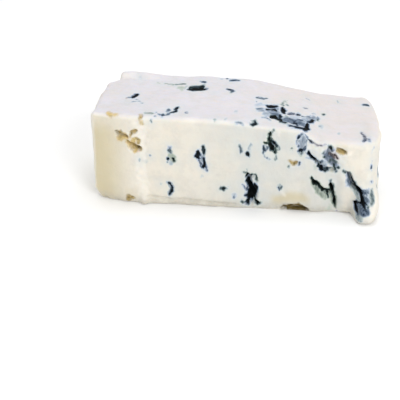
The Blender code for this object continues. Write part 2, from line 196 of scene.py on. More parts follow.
def alongPath(points, face, path):
    # distance from a path, and the path's reach at the nearest place on it
    squeeze = drawnOut if face == "top" else np.ones(3)
    points = points * squeeze
    feet = [onFace(face, place[:2]) * squeeze for place in path]
    reaches = [place[2] for place in path]
    if len(path) == 1:
        return np.linalg.norm(points - feet[0], axis=1), np.full(len(points), reaches[0])
    best = np.full(len(points), np.inf)
    reach = np.zeros(len(points))
    for start, end, startReach, endReach in zip(feet, feet[1:], reaches, reaches[1:]):
        line = end - start
        share = np.clip(((points - start) @ line) / (line @ line), 0.0, 1.0)
        away = np.linalg.norm(points - start - share[:, None] * line, axis=1)
        here = startReach + (endReach - startReach) * share
        nearer = away - here < best - reach
        best = np.where(nearer, away, best)
        reach = np.where(nearer, here, reach)
    return best, reach


# Soft lobes that stand proud: place on the face, reach and height in mm

lobes = {
    "front": [
        {
            "name": "slumped toe",
            "at": (56.3, 3.6),
            "reach": (10.5, 13.5),
            "height": 10.5,
            "start": (51.0, 54.6, 0.12),  # it begins beyond the crack, which leans by this share
        },
        {"name": "tooth between two cracks", "at": (48.5, 9.0), "reach": (5.0, 12.0), "height": 1.4},
        {"name": "belly left of the cracks", "at": (35.5, 7.5), "reach": (8.0, 11.0), "height": 1.7},
        {"name": "flake at the crease's foot", "at": (-42.0, 1.5), "reach": (3.2, 4.0), "height": 1.6},
    ],
    "right": [
        {"name": "toe's side", "at": (-24.5, 5.0), "reach": (10.0, 12.5), "height": 2.6, "fade": (0.5, 6.0)},
        {"name": "thin end shoulder", "at": (-10.0, 8.0), "reach": (12.0, 11.0), "height": 1.2},
    ],
    "back": [
        {"name": "fold beside the crack", "at": (46.0, 10.0), "reach": (7.0, 12.0), "height": 1.5},
        {"name": "back foot", "at": (-20.0, 5.0), "reach": (12.0, 7.0), "height": 1.2},
    ],
}

# Hollows pressed in: (first, second, reach) along each path, and the depth, in mm. A helper script
# wrote most rows of the front and top: it cast paths read by eye onto a dump of the slab's mesh.

hollows = {
    "front": [
        ("curd hole, left", [(-53.6, 34.8, 0.73), (-52.6, 32.7, 1.19), (-49.6, 33.2, 1.09)], 2.6),
        ("curd hole, right", [(-48.4, 30.8, 0.92), (-46.3, 29.3, 1.74), (-44.4, 27.7, 1.65)], 3.2),
        ("curd pit", [(-47.1, 34.9, 0.68), (-45.8, 36.2, 1.09), (-44.4, 36.9, 0.77)], 1.6),
        ("black cavern", [(4.9, 17.2, 1.1), (6.6, 10.1, 2.14), (7.5, 7.3, 2.75), (7.3, 4.6, 2.24)], 4.4),
        ("cavern curl", [(6.1, 16, 0.9), (8.8, 16.3, 0.75), (9.2, 14.3, 0.7)], 1.2),
        ("cavern's left foot", [(6.6, 4.8, 1.22), (4.8, 2.9, 0.92)], 1.8),
        ("cavern's right foot", [(8.1, 4.8, 1.22), (10.6, 3, 0.87)], 1.8),
        ("stem vein", [(14.4, 38.4, 0.53), (14.6, 33.9, 0.98), (15, 31.1, 1.47)], 1.3),
        ("slanting crack", [(33.7, 15.8, 0.75), (36.8, 14, 1.05), (39.2, 11.4, 1.11),
                            (41.2, 9.9, 0.96)], 2.6),
        ("hollow under the front", [(22.4, 0.1, 3.17), (27.4, 0.1, 3.38), (30.9, 0.2, 2.76)], 3.4),
        ("hair crack", [(-30.4, 11.1, 0.6), (-29.7, 9.2, 0.65), (-30.1, 5.8, 0.61)], 0.9),
        ("arch vein", [(27.8, 37.5, 0.9), (27.2, 33.8, 1.09), (27.7, 30.4, 0.91)], 1),
        ("pin hole", [(25.2, 23.9, 0.81), (26.4, 24.8, 0.59)], 1.4),
        ("crack under the top", [(31.3, 35.3, 0.45), (32.8, 34.5, 0.62), (35, 33.9, 0.47),
                                 (37.9, 34, 0.44)], 1.8),
        ("ragged vein", [(31.1, 29.5, 0.77), (33.9, 26.4, 0.88), (36.3, 23.3, 1.29),
                         (38.4, 22.2, 1.4), (42.3, 22.5, 1.02)], 2),
        ("ragged vein, high", [(39.5, 31.9, 0.73), (40.5, 28.6, 1.54), (41.4, 25.2, 1.55)], 2),
        ("curd recess", [(43, 31.8, 0.73), (46.5, 30.4, 0.82)], 1.8),
        ("upright crack", [(42, 14.7, 0.67), (42.5, 11.2, 0.94), (44.4, 6.8, 0.95), (44.7, 3.1, 0.8)], 2.8),
        ("great crack", [(49.2, 20.5, 0.92), (51, 14.6, 1.13), (54.1, 12.7, 1.17), (55.3, 11.7, 1.31),
                         (54.9, 9.9, 1.16), (54.5, 8.5, 1.04), (53.4, 6.6, 0.93), (53.7, 4.1, 0.79)], 4.6),
        ("line above the ledge", [(-41, 3.8, 0.7), (-30, 3.4, 0.8), (-16, 2.6, 0.8), (0, 2, 0.7)], 0.8),
    ],
    "top": [
        ("nick over the crease", [(-42.4, -25.3, 0.68), (-42, -26.8, 0.58), (-41.6, -27.3, 0.4)], 1.4),
        ("black lens", [(-24.4, 8.6, 1.65), (-21.5, 9.1, 2.04), (-17.8, 9.5, 1.75)], 0.55),
        ("black point", [(-50.1, -2.1, 1.15), (-49, -0.6, 1.25)], 0.5),
        ("row of specks", [(-33.2, -23.8, 0.81), (-30.8, -18.7, 0.82), (-27.7, -15.3, 0.83)], 0.4),
        ("great vein, back", [(12.3, -5, 1.28), (15.7, -5.9, 1.79), (20, -5, 1.49)], 0.7),
        ("great vein, front", [(14.5, -16.2, 1.25), (17.1, -15.8, 1.75), (23.1, -19.1, 1.29),
                               (30.3, -19.9, 1.48)], 0.7),
        ("great vein, tail", [(21.8, -9.5, 0.96), (30.2, -8.3, 1.07), (33.7, -7, 1.28)], 0.5),
        ("crescent", [(5, -24.1, 0.78), (6.8, -25.8, 1.02), (8.2, -23.3, 0.93)], 0.5),
        ("vein at the thin end", [(54, -16.6, 0.96), (56.8, -22.6, 1.04)], 0.5),
    ],
    "back": [
        ("cavern", [(-24, 24, 2.6), (-18.5, 15.5, 3.6), (-17, 9, 2.6)], 3.8),
        ("cavern's side arm", [(-18.5, 15.5, 2), (-11.5, 19, 1.5)], 2.2),
        ("crack", [(10, 31, 1.1), (15, 22.5, 1.5), (14, 12, 1.3)], 2.7),
        ("fold crack", [(33.5, 24, 1.3), (38.5, 14.5, 1.7), (38, 3, 1.7)], 3.4),
        ("curd hole", [(-47, 30.5, 2.4), (-43.5, 28.5, 2.8)], 3.2),
        ("pin hole", [(-2.5, 33, 1.6), (-1, 33.4, 1.4)], 1.8),
    ],
    "right": [
        ("end crack", [(-9, 27, 1.3), (-4.5, 19, 1.6), (-6.5, 8, 1.5)], 3),
        ("end cavern", [(7, 21, 2.7), (11, 14, 3)], 3.2),
        ("end pin hole", [(4, 29, 1.5), (5, 29.6, 1.4)], 1.6),
    ],
    "left": [
        ("thick end curd hole", [(6, 26.5, 2.4), (10.5, 24.5, 2.2)], 2.8),
        ("thick end pin hole", [(-10, 13, 1.5), (-8.6, 13.6, 1.5)], 1.6),
        ("thick end crack", [(15, 12, 1.1), (17.5, 4, 1.1)], 1.6),
    ],
}

# Mould in two layers, each mark with its path and reach in mm. Veins: how dark (pale 0 to black
# 1), the hue (brown -1, blue 0, green 1) and how softly they end, in mm. Haze: how dense, the hue.
# The helper script wrote most of these rows too, and most of those of the curd below.

veins = {
    "front": [
        ([(26.5, 36.9, 0.61)], 0.95, 0.1, 0.48),
        ([(25.9, 35.8, 0.43), (25.9, 33.7, 0.36)], 0.42, 0.1, 0.56),
        ([(26.7, 32.4, 0.51)], 0.58, 0, 0.64),
        ([(27.6, 30.3, 0.73)], 0.95, 0.2, 0.48),
        ([(26.7, 37, 0.4), (27.2, 37.7, 0.32), (28.5, 38.4, 0.36), (29.3, 38.3, 0.43),
          (30.2, 36.9, 0.43)], 0.51, 0.05, 0.48),
        ([(29.6, 35.5, 0.3), (29.5, 33.7, 0.33)], 0.27, 0.1, 0.56),
        ([(29.3, 32.3, 0.44), (28.9, 31, 0.55)], 0.65, 0.1, 0.56),
        ([(28.1, 29.3, 0.58)], 0.44, 0.5, 0.8),
        ([(27, 34.9, 0.43)], 0.42, 0.2, 0.64),
        ([(31.1, 35.5, 0.3), (32.5, 34.4, 0.47)], 0.8, -0.2, 0.48),
        ([(33.3, 34.4, 0.3), (34.8, 33.8, 0.3), (36.3, 33.9, 0.3)], 0.51, -0.6, 0.56),
        ([(37.3, 34.1, 0.3), (38.1, 33.9, 0.3)], 0.55, -0.4, 0.56),
        ([(31, 29.5, 0.59)], 0.64, 0.3, 0.48),
        ([(30.7, 29.1, 0.36), (31.7, 28.3, 0.51)], 0.9, 0.1, 0.48),
        ([(32.6, 27.5, 0.33), (33.8, 26.4, 0.55), (34.5, 26, 0.33)], 0.98, 0.3, 0.48),
        ([(34.2, 25.3, 0.48)], 0.51, 0.4, 0.64),
        ([(34.6, 26.1, 0.3), (35.6, 25.4, 0.3), (36.3, 25.6, 0.37)], 0.95, 0.4, 0.4),
        ([(36.9, 24, 0.52)], 0.59, 0.3, 0.56),
        ([(35.5, 23.3, 0.55)], 0.85, 0.5, 0.48),
        ([(36.6, 22.4, 0.62), (37.3, 21.7, 0.48)], 1.05, 0.2, 0.48),
        ([(38.5, 21.3, 0.52), (39.8, 22, 0.52)], 0.8, 0.5, 0.56),
        ([(37.3, 26.1, 0.73)], 0.59, 0.2, 0.64),
        ([(38.3, 28.5, 0.51)], 0.64, 0.6, 0.56),
        ([(37.5, 30.3, 0.51)], 0.55, 0.6, 0.64),
        ([(39.6, 32.9, 0.33), (40.2, 31.7, 0.44)], 0.85, 0.6, 0.48),
        ([(41.2, 31, 0.36)], 0.61, -0.2, 0.56),
        ([(42.4, 29.2, 0.36), (43.2, 28.3, 0.47)], 0.8, -0.8, 0.56),
        ([(42.4, 24, 0.51), (43.1, 22.5, 0.52)], 0.85, 0.7, 0.56),
        ([(43.6, 21.3, 0.44)], 0.66, 0.5, 0.56),
        ([(44.4, 23.4, 0.48), (44.8, 23, 0.3)], 0.8, 0.6, 0.56),
        ([(49.3, 20.6, 0.52)], 0.9, 0.8, 0.56),
        ([(47, 21.4, 0.41), (48, 21, 0.48)], 0.55, 0.6, 0.64),
        ([(48.8, 19.5, 0.37), (49.5, 15.7, 0.49), (49.5, 15.3, 0.41)], 0.61, 0.1, 0.64),
        ([(50.5, 14.7, 0.6)], 0.59, 0.1, 0.64),
        ([(51, 16.9, 0.56), (51.4, 16.3, 0.48), (53.5, 12.9, 0.6), (54.1, 12.7, 0.75)], 0.95, 0.6, 0.48),
        ([(54.3, 12.8, 0.75), (55.2, 12.2, 0.86), (55.2, 11.2, 0.67), (54.9, 9.9, 0.63),
          (55.1, 8.5, 0.63)], 1.2, 0.1, 0.4),
        ([(55, 8.5, 0.52), (54, 8.3, 0.48), (53.4, 6.6, 0.45), (53.8, 4.2, 0.38)], 1.15, 0.1, 0.4),
        ([(55.7, 13, 0.71), (56.2, 13.4, 0.52), (57, 13, 0.6)], 0.65, 0.1, 0.64),
        ([(56.2, 12.5, 0.52), (56.9, 12, 0.33)], 0.56, 0.1, 0.64),
        ([(54.7, 7.5, 0.3), (55.7, 8, 0.3), (56.2, 9.1, 0.3)], 0.53, 0.2, 0.48),
        ([(56.1, 8.1, 0.3), (56.6, 8.6, 0.37)], 0.66, 0.7, 0.48),
        ([(54.1, 2.4, 0.67)], 0.44, 0.5, 0.8),
        ([(41.5, 16.6, 0.3), (42, 14.9, 0.41)], 0.51, 0.5, 0.56),
        ([(42.2, 14.5, 0.45), (42.4, 11.8, 0.6), (42.7, 10.5, 0.53)], 0.98, 0.8, 0.48),
        ([(42.8, 10.3, 0.41), (43.9, 8.5, 0.41), (44.5, 6.7, 0.38), (44.3, 5.1, 0.38),
          (44.7, 3.7, 0.34)], 0.88, 0.95, 0.48),
        ([(43.3, 13.6, 0.45)], 0.51, 0.7, 0.64),
        ([(39.8, 10.9, 0.34), (40.7, 11.9, 0.41), (41.3, 11.9, 0.3)], 0.9, 0.8, 0.48),
        ([(40.3, 10.3, 0.38), (40.5, 9.5, 0.3), (41.2, 7.9, 0.3)], 0.85, 0.9, 0.48),
        # painted shadow: the small brown mark at the foot of the tooth, under the upright crack
        ([(45.8, 0.9, 0.3)], 0.59, -0.5, 0.56),
        ([(0.9, 31.1, 0.54), (1.8, 29, 0.67)], 0.47, 0.4, 0.72),
        ([(-30.6, 11.3, 0.37), (-29.6, 10.4, 0.42), (-29.4, 7.4, 0.47), (-30.1, 5.8, 0.42)], 0.85, 0.3, 0.4),
        ([(-38.6, 24.6, 0.32)], 0.34, 0.2, 0.8),
        ([(-43.8, 22.2, 0.37)], 0.3, 0.4, 0.8),
        ([(-37.3, 41.5, 0.31)], 0.42, 0.2, 0.64),
        ([(-34.4, 10.8, 0.46)], 0.34, 0.5, 0.96),
        ([(0.9, 31.6, 0.44), (1.8, 29, 0.64)], 0.36, 0.5, 0.8),
        ([(5.9, 32.1, 0.34), (5.7, 29.7, 0.44)], 0.42, 0.4, 0.72),
        ([(4.7, 27.8, 0.69), (5.2, 27.1, 0.54)], 1, 0.4, 0.4),
        ([(33.3, 17.2, 0.5), (34.5, 14.9, 0.7), (36.7, 14.3, 0.65), (38.7, 11.5, 0.65),
          (41.2, 11.8, 0.65)], 0.88, 0.9, 0.48),
        ([(-6.3, 10, 0.52), (-5.4, 9.9, 0.76), (-4.8, 10, 0.55)], 0.8, 0.6, 0.8),
        ([(-3.3, 10.8, 0.3)], 0.26, 0.3, 0.48),
        ([(-1.2, 7.1, 0.62), (-0.6, 6.3, 0.62)], 0.44, 0.1, 1.28),
        ([(4.7, 16.6, 0.58), (6.2, 16.3, 0.51), (7, 17.2, 0.41)], 1.05, 0.4, 0.48),
        ([(3.4, 18.2, 0.51), (4.7, 18, 0.68)], 0.42, 0.8, 0.48),
        ([(5.1, 20.5, 0.34), (5, 19.5, 0.44)], 0.21, 0.7, 0.48),
        ([(7.2, 17.7, 0.41), (8.5, 17.3, 0.34), (9.2, 16.2, 0.41), (9.2, 14.6, 0.41)], 0.64, 0.7, 0.48),
        ([(4.7, 14.2, 0.52), (5.3, 12.8, 0.45), (6.1, 10.6, 0.87)], 1.2, 0.2, 0.48),
        ([(6.6, 9.7, 1.05), (7.4, 8.2, 1.75), (7.1, 6.5, 1.68), (7, 5, 1.33)], 1.25, 0.1, 0.48),
        ([(8.5, 12.8, 0.52), (9, 10.3, 0.41), (8.5, 6.2, 0.45)], 1.2, 0.1, 0.48),
        ([(4.9, 8.9, 0.35), (4.1, 10.1, 0.35), (3.5, 11.1, 0.3), (2.8, 11.8, 0.3)], 0.51, -0.1, 0.48),
        ([(5.2, 6.6, 0.52), (4.6, 6.8, 0.42), (3.9, 6.4, 0.31)], 0.95, 0.1, 0.48),
        ([(6.7, 4.6, 0.63), (6.2, 4.4, 0.3), (5.3, 3.5, 0.59), (5.2, 2.9, 0.45)], 1, 0.3, 0.48),
        ([(5.2, 3, 0.42), (3.7, 3.3, 0.42), (3, 3.8, 0.3)], 0.61, 0.6, 0.48),
        ([(4.1, 2.4, 0.31)], 0.42, -0.3, 0.48),
        ([(8.5, 5, 0.38), (9.2, 4.5, 0.3), (9.5, 3.6, 0.35), (10.3, 2.9, 0.59),
          (11.3, 2.9, 0.38)], 0.9, 0.7, 0.48),
        ([(9.3, 3, 0.35)], 0.51, 0.6, 0.48),
        ([(-30, 29.6, 0.59), (-30.2, 28.9, 0.51)], 0.38, -0.1, 0.96),
        ([(-30.2, 28.3, 0.51), (-29.5, 27, 0.4)], 0.58, 0.5, 0.48),
        ([(-30.6, 23.7, 0.6)], 1.1, 0.3, 0.48),
        ([(-30.9, 22.1, 0.36)], 0.42, 0.4, 0.48),
        ([(-28.4, 23.9, 0.6), (-27.9, 22.9, 0.48), (-27.5, 22.5, 0.44)], 0.82, 0.9, 0.48),
        ([(-14.7, 30.2, 0.47), (-14.4, 28.6, 0.79), (-14.7, 27.3, 0.51)], 0.85, 0.5, 0.48),
        ([(-17.2, 27.2, 0.79), (-17.5, 25.6, 0.87), (-16.8, 24.6, 0.59)], 0.92, 0.15, 0.48),
        ([(-16.4, 23.5, 0.44), (-16.1, 22.2, 0.48), (-15.9, 20.7, 0.4)], 0.51, -0.1, 0.48),
        ([(-15.9, 25.7, 0.47), (-15.8, 24.1, 0.4)], 0.42, 0.1, 0.48),
        ([(-14.8, 25, 0.4), (-14.5, 23.4, 0.52), (-14.2, 21.4, 0.68), (-14.7, 20.4, 0.52)], 1, 0.1, 0.48),
        ([(-13.4, 20.7, 0.36), (-13, 19.1, 0.48)], 0.51, 0, 0.48),
        ([(14.5, 38.3, 0.31), (14.2, 37.3, 0.36), (14.1, 36.5, 0.3), (14.3, 34.7, 0.36),
          (14.5, 33.6, 0.36)], 0.88, 0.9, 0.48),
        ([(15.6, 39.4, 0.42)], 0.34, 0.6, 0.48),
        ([(15.1, 38.9, 0.3)], 0.34, 0.6, 0.48),
        ([(13.1, 35.8, 0.33)], 0.3, 0.8, 0.48),
        ([(11.6, 33.2, 0.3), (12.5, 33.2, 0.33), (13.6, 33.4, 0.36), (14.1, 33.1, 0.42)], 0.85, 0.9, 0.48),
        ([(14.2, 32.7, 0.56), (14.7, 31.5, 0.7), (14.7, 30.8, 0.56), (15.5, 30.3, 0.36)], 1.1, 0.6, 0.48),
        ([(15.5, 33.7, 0.5), (15.9, 33, 0.47)], 0.92, 0.3, 0.48),
        ([(16.9, 32.2, 0.61)], 0.82, 0.6, 0.48),
        ([(16.4, 31, 0.56)], 0.58, 0.8, 0.48),
        ([(17.4, 30.2, 0.42)], 0.59, 0.7, 0.48),
        ([(16.6, 29.3, 0.45), (16.9, 28.7, 0.42)], 0.85, 0.8, 0.48),
        ([(17.5, 27.3, 0.42), (17.4, 26.3, 0.42), (16.5, 25.5, 0.34)], 0.42, 0.6, 0.48),
        ([(11.2, 31.3, 0.3), (11.6, 30.3, 0.34), (12, 29.7, 0.34)], 0.61, 0.2, 0.48),
        ([(13.1, 31.5, 0.3), (12.7, 30.7, 0.42), (12.2, 29.8, 0.36)], 0.66, 0.3, 0.48),
        ([(11.8, 28.6, 0.3)], 0.58, 0.3, 0.48),
        ([(12.7, 26.7, 0.3), (13.5, 26, 0.42), (14.3, 25.2, 0.34)], 0.42, 0.3, 0.48),
        ([(12.3, 27.4, 0.42)], 0.26, 0.3, 0.48),
        ([(23.4, 33, 0.33)], 0.1, 0.8, 0.48),
        ([(23.6, 30.5, 0.48)], 0.14, 0.8, 0.48),
        ([(-37.3, 41.3, 0.39)], 0.26, 0.5, 0.48),
        ([(43.9, 25.4, 0.39)], 0.26, -0.8, 0.48),
    ],
    "top": [
        ([(-51, 21.5, 0.51)], 0.26, 0.3, 1.12),
        ([(-9.9, -26.1, 0.4)], 0.38, 0.6, 0.8),
        ([(-0.9, -26.8, 0.3), (2, -25.9, 0.3)], 0.42, 0.2, 0.56),
        ([(36.6, -13.1, 0.71)], 0.34, 0.3, 1.12),
        ([(56.9, 13.9, 0.33), (59, 13.7, 0.43)], 0.8, 0.2, 0.48),
        ([(12.2, -3.4, 0.33), (13.8, -3.3, 0.53), (15.7, -3, 0.41), (16.7, -2, 0.3)], 0.9, 0, 0.48),
        ([(12.1, -8.4, 0.49), (13.5, -7.9, 0.73), (15.6, -6.3, 0.9), (16.5, -6.5, 0.57)], 1.1, 0.1, 0.48),
        ([(19.2, -3.2, 0.3), (19.9, -4.7, 0.82), (19.5, -9.7, 0.61)], 1.15, 0.1, 0.48),
        ([(17.8, -12.8, 0.3), (18.1, -14.2, 0.44), (18.4, -15.4, 0.48)], 0.85, 0.2, 0.48),
        ([(14.1, -15.7, 0.48), (16, -15.6, 0.88), (17.7, -17.5, 0.8), (18.8, -17, 0.72)], 1.1, 0.5, 0.48),
        ([(18.5, -20.2, 0.39), (19.9, -21.1, 0.35), (20.8, -21.2, 0.3)], 0.8, 0.4, 0.48),
        ([(10.1, -18.3, 0.3), (12, -17.6, 0.32), (13, -19.3, 0.36), (13.7, -19.9, 0.3)], 0.42, 0, 0.48),
        ([(7.7, -9.6, 0.3), (8.9, -8.6, 0.37), (9.9, -8.3, 0.3)], 0.42, 0.1, 0.48),
        ([(7.4, -11.5, 0.3), (8.7, -11.6, 0.48), (10.6, -11.1, 0.4)], 0.31, 0, 0.48),
        ([(7, -1.5, 0.3)], 0.34, 0, 0.48),
        ([(7.3, 3.2, 0.3), (10.4, 4, 0.3), (12, 5.6, 0.3)], 0.59, 0.2, 0.48),
        ([(8.4, 5, 0.3), (9.4, 4.9, 0.3)], 0.34, 0, 0.48),
        ([(19.4, 4.7, 0.42), (21, 5.3, 0.42)], 0.26, 0.6, 0.8),
        ([(19.3, 2.2, 0.3), (19.4, -1, 0.33)], 0.38, 0.6, 0.48),
        ([(21, 1.7, 0.33), (21.6, 0.9, 0.37)], 0.34, 0.6, 0.48),
        ([(21.9, -9, 0.3), (23, -8.2, 0.3), (24.5, -8, 0.3)], 0.51, -0.3, 0.48),
        ([(25.9, -8.4, 0.3), (26.7, -9.5, 0.53)], 0.95, 0, 0.48),
        ([(28.1, -10.8, 0.36), (29.8, -9.4, 0.37), (31.6, -6.8, 0.41)], 0.51, 0.1, 0.48),
        ([(31.9, -6.3, 0.41), (32.8, -4.1, 0.37), (33.4, -2.3, 0.3)], 0.26, 0, 0.48),
        ([(21.9, -15.1, 0.3), (23.4, -16.9, 0.56), (24.9, -17.4, 0.36), (25.8, -15, 0.3),
          (27.1, -15.7, 0.3), (28.2, -15, 0.3)], 0.61, 0, 0.48),
        ([(24.6, -18.9, 0.48), (25.8, -18.6, 0.4), (25.7, -22.8, 0.31)], 0.8, 0, 0.48),
        ([(22.4, -23.6, 0.3), (24.2, -24, 0.35), (25.4, -24.7, 0.35), (27.3, -25.1, 0.43),
          (28.8, -24.7, 0.51)], 0.9, 0, 0.48),
        ([(29.3, -23.7, 0.67), (30.5, -20.4, 0.87), (30.7, -18.5, 0.48), (30.5, -17, 0.32)], 1.2, 0, 0.48),
        ([(30.8, -14.3, 0.36), (32.3, -12.1, 0.49), (33.3, -9.4, 0.49)], 0.95, 0, 0.48),
        ([(30, -15.2, 0.3), (30.8, -13.6, 0.32)], 0.59, 0, 0.48),
        ([(34.3, -6.7, 0.33), (35.1, -4.6, 0.41), (36.1, -3.5, 0.3)], 0.34, 0, 0.48),
        ([(30, 14.6, 0.35), (31.5, 13.8, 0.3)], 0.27, -0.3, 0.48),
        ([(29.1, 0.2, 0.3), (30.4, 1.3, 0.3)], 0.42, -0.4, 0.48),
        ([(5.7, -25.2, 0.3), (6.9, -25.6, 0.51), (7.6, -23.5, 0.55), (7.7, -22.6, 0.31)], 0.85, 0.5, 0.48),
        ([(6.1, -22.2, 0.3)], 0.26, 0.5, 0.48),
        ([(-25.2, 8.3, 0.3), (-23.1, 8, 0.93), (-21.2, 8.5, 1.02), (-18.8, 8.6, 1.06),
          (-17.1, 8.7, 0.34)], 1.2, 0.3, 0.48),
        ([(-24.5, 10.4, 0.51), (-22.6, 10.8, 0.56), (-20.3, 11.2, 0.51),
          (-18.8, 11.9, 0.51)], 0.85, 0.5, 0.48),
        ([(-16.8, 8.3, 0.3), (-16, 8.8, 0.3)], 0.42, -0.2, 0.48),
        ([(-19.7, 17.3, 0.43), (-18.5, 17, 0.61)], 0.61, 0, 0.48),
        ([(-20.6, 18.3, 0.3)], 0.34, 0, 0.48),
        ([(-30, 15.5, 0.3), (-29, 15.5, 0.52), (-27.8, 14.9, 0.43)], 0.36, 0.6, 0.48),
        ([(-27.1, 8.9, 0.3)], 0.38, 0.3, 0.48),
        ([(-7.4, 9.7, 0.42), (-6.7, 9.2, 0.55), (-5.4, 7.4, 0.55), (-4.2, 6.5, 0.3)], 0.66, -0.1, 0.48),
        ([(-11.5, 22.7, 0.3), (-10.4, 23, 0.3)], 0.26, -0.2, 0.48),
        ([(-8.3, 24, 0.3), (-7.7, 25.5, 0.3)], 0.51, -0.2, 0.48),
        ([(-6.9, 21.6, 0.35), (-5.4, 22.2, 0.48), (-4.2, 22.7, 0.48), (-2.7, 22.8, 0.31)], 0.61, 0, 0.48),
        ([(14.7, -27.1, 0.3)], 0.34, 0.6, 0.48),
        ([(-50.2, -2.6, 0.63), (-49.6, -1.9, 0.71), (-49, 0.4, 0.55)], 1.15, -0.1, 0.48),
        ([(-52.3, -3.6, 0.3), (-51.2, -3.3, 0.3), (-50.4, -3.1, 0.3)], 0.51, 0.1, 0.48),
        ([(-53, -4.8, 0.54)], 0.26, -0.7, 0.48),
        ([(-54.6, -3.7, 0.3)], 0.17, -0.5, 0.48),
        ([(-48, -6.3, 0.3), (-46.3, -8.3, 0.33), (-44.3, -10.9, 0.3)], 0.3, 0.2, 0.48),
        ([(-50.1, -10.7, 0.3), (-48.9, -9.2, 0.3), (-47.9, -8.3, 0.3)], 0.21, 0.1, 0.48),
        ([(-41, -22.3, 0.3), (-40, -23.1, 0.3), (-38, -23.8, 0.3)], 0.44, 0.6, 0.48),
        ([(-36.8, -21.4, 0.52)], 0.34, -0.1, 0.48),
        ([(-35.5, -22.9, 0.36), (-34.4, -24.2, 0.3)], 0.3, 0, 0.48),
        ([(-36.2, -25.8, 0.39)], 0.42, 0, 0.48),
        ([(-33.4, -23.6, 0.55), (-32.8, -24.1, 0.43)], 0.61, 0.1, 0.48),
        ([(-32.1, -23.8, 0.31), (-31.2, -23.4, 0.35)], 0.47, 0.2, 0.48),
        ([(-30.8, -21.9, 0.51), (-30.1, -22.3, 0.39)], 0.58, 0.1, 0.48),
        ([(-31.9, -18.8, 0.4), (-31.1, -17.8, 0.44)], 0.42, 0.1, 0.48),
        ([(-29.6, -21, 0.3), (-28.7, -20.1, 0.48), (-27.9, -19, 0.52), (-28, -15.1, 0.68),
          (-27.9, -14.5, 0.48)], 0.82, 0.2, 0.48),
        ([(-27, -15.2, 0.6)], 0.21, 0.3, 0.48),
        ([(-23.2, -20, 0.67)], 0.38, -0.3, 0.48),
        ([(-41.6, 16.7, 0.3), (-38.8, 15.8, 0.3), (-35.9, 14.5, 0.3), (-33.3, 14.3, 0.3),
          (-31.3, 14.9, 0.3), (-28.6, 15.1, 0.52)], 0.3, 0.6, 0.48),
        ([(54, -16.4, 0.48), (55.1, -19.3, 0.52), (55.2, -22.3, 0.67)], 0.51, -0.4, 0.48),
        ([(54.3, -24.1, 0.55), (55.2, -22.9, 0.59)], 0.53, -0.3, 0.48),
        ([(56.7, -22, 0.4), (57.2, -24.2, 0.51)], 0.36, 0, 0.48),
        ([(57.8, -21, 0.4)], 0.21, 0, 0.48),
    ],
    "back": [
        ([(-24, 24, 1.4), (-18.5, 15.5, 2.4), (-17, 9, 1.7)], 1, 0.3, 0.35),
        ([(-18.5, 15.5, 1.3), (-11.5, 19, 0.9)], 0.8, 0.3, 0.4),
        ([(10, 31, 0.7), (15, 22.5, 1.1), (14, 12, 0.9)], 0.85, 0.7, 0.35),
        ([(33.5, 24, 0.8), (38.5, 14.5, 1.4), (38, 3, 1.4)], 1, 0.4, 0.35),
        ([(-48, 15, 0.9), (-46, 10.5, 1.3)], 0.75, 0.5, 0.4),
        ([(-38.5, 21, 0.6), (-37.5, 17.5, 0.8)], 0.6, 0.2, 0.4),
        ([(-6, 8.5, 0.8), (-3.5, 6, 1.1), (-4.5, 3, 0.7)], 0.85, 0.2, 0.4),
        ([(2, 20.5, 0.9), (3, 16.5, 1.2)], 0.8, 0.1, 0.4),
        ([(25.5, 30, 0.8), (27, 25.5, 1.1), (25, 22, 0.7)], 0.8, 0.1, 0.4),
        ([(49.5, 27, 0.8), (52, 22, 1)], 0.7, 0.3, 0.4),
    ],
    "right": [
        ([(-25.6, 15.5, 0.3), (-24.6, 15.5, 0.3), (-23.8, 15.5, 0.3)], 0.36, 0, 0.64),
        ([(-25.2, 32.3, 0.3), (-25.4, 31.4, 0.3), (-25.7, 30.2, 0.32)], 0.3, 0.1, 0.48),
        ([(-25, 26.9, 0.3), (-24.8, 25, 0.3)], 0.21, -0.2, 0.48),
        ([(-24.9, 23.7, 0.36), (-24.8, 22.6, 0.44)], 0.58, 0, 0.48),
        ([(-24.3, 21.3, 0.32)], 0.21, 0, 0.48),
        ([(-9, 27, 0.8), (-4.5, 19, 1.3), (-6.5, 8, 1.2)], 0.95, 0.4, 0.35),
        ([(7, 21, 1.4), (11, 14, 1.9)], 1, 0.3, 0.4),
        ([(12.5, 11, 1), (14, 5.5, 0.8)], 0.6, 0.6, 0.4),
        ([(-14, 19, 0.8), (-13, 14.5, 1.1)], 0.8, 0.2, 0.4),
        ([(-1.5, 6, 0.8), (1, 3.5, 0.6)], 0.7, 0.3, 0.4),
    ],
    "left": [
        ([(15, 12, 0.6), (17.5, 4, 0.6)], 0.8, 0.6, 0.35),
        ([(-4, 33, 0.8), (-2, 29.5, 1.2)], 0.7, 0.4, 0.4),
        ([(1, 14, 0.9), (-1.5, 9, 1.2), (0.5, 5.5, 0.8)], 0.8, 0.2, 0.4),
        ([(17, 34, 0.8), (19, 30, 0.9)], 0.6, 0.1, 0.4),
    ],
}

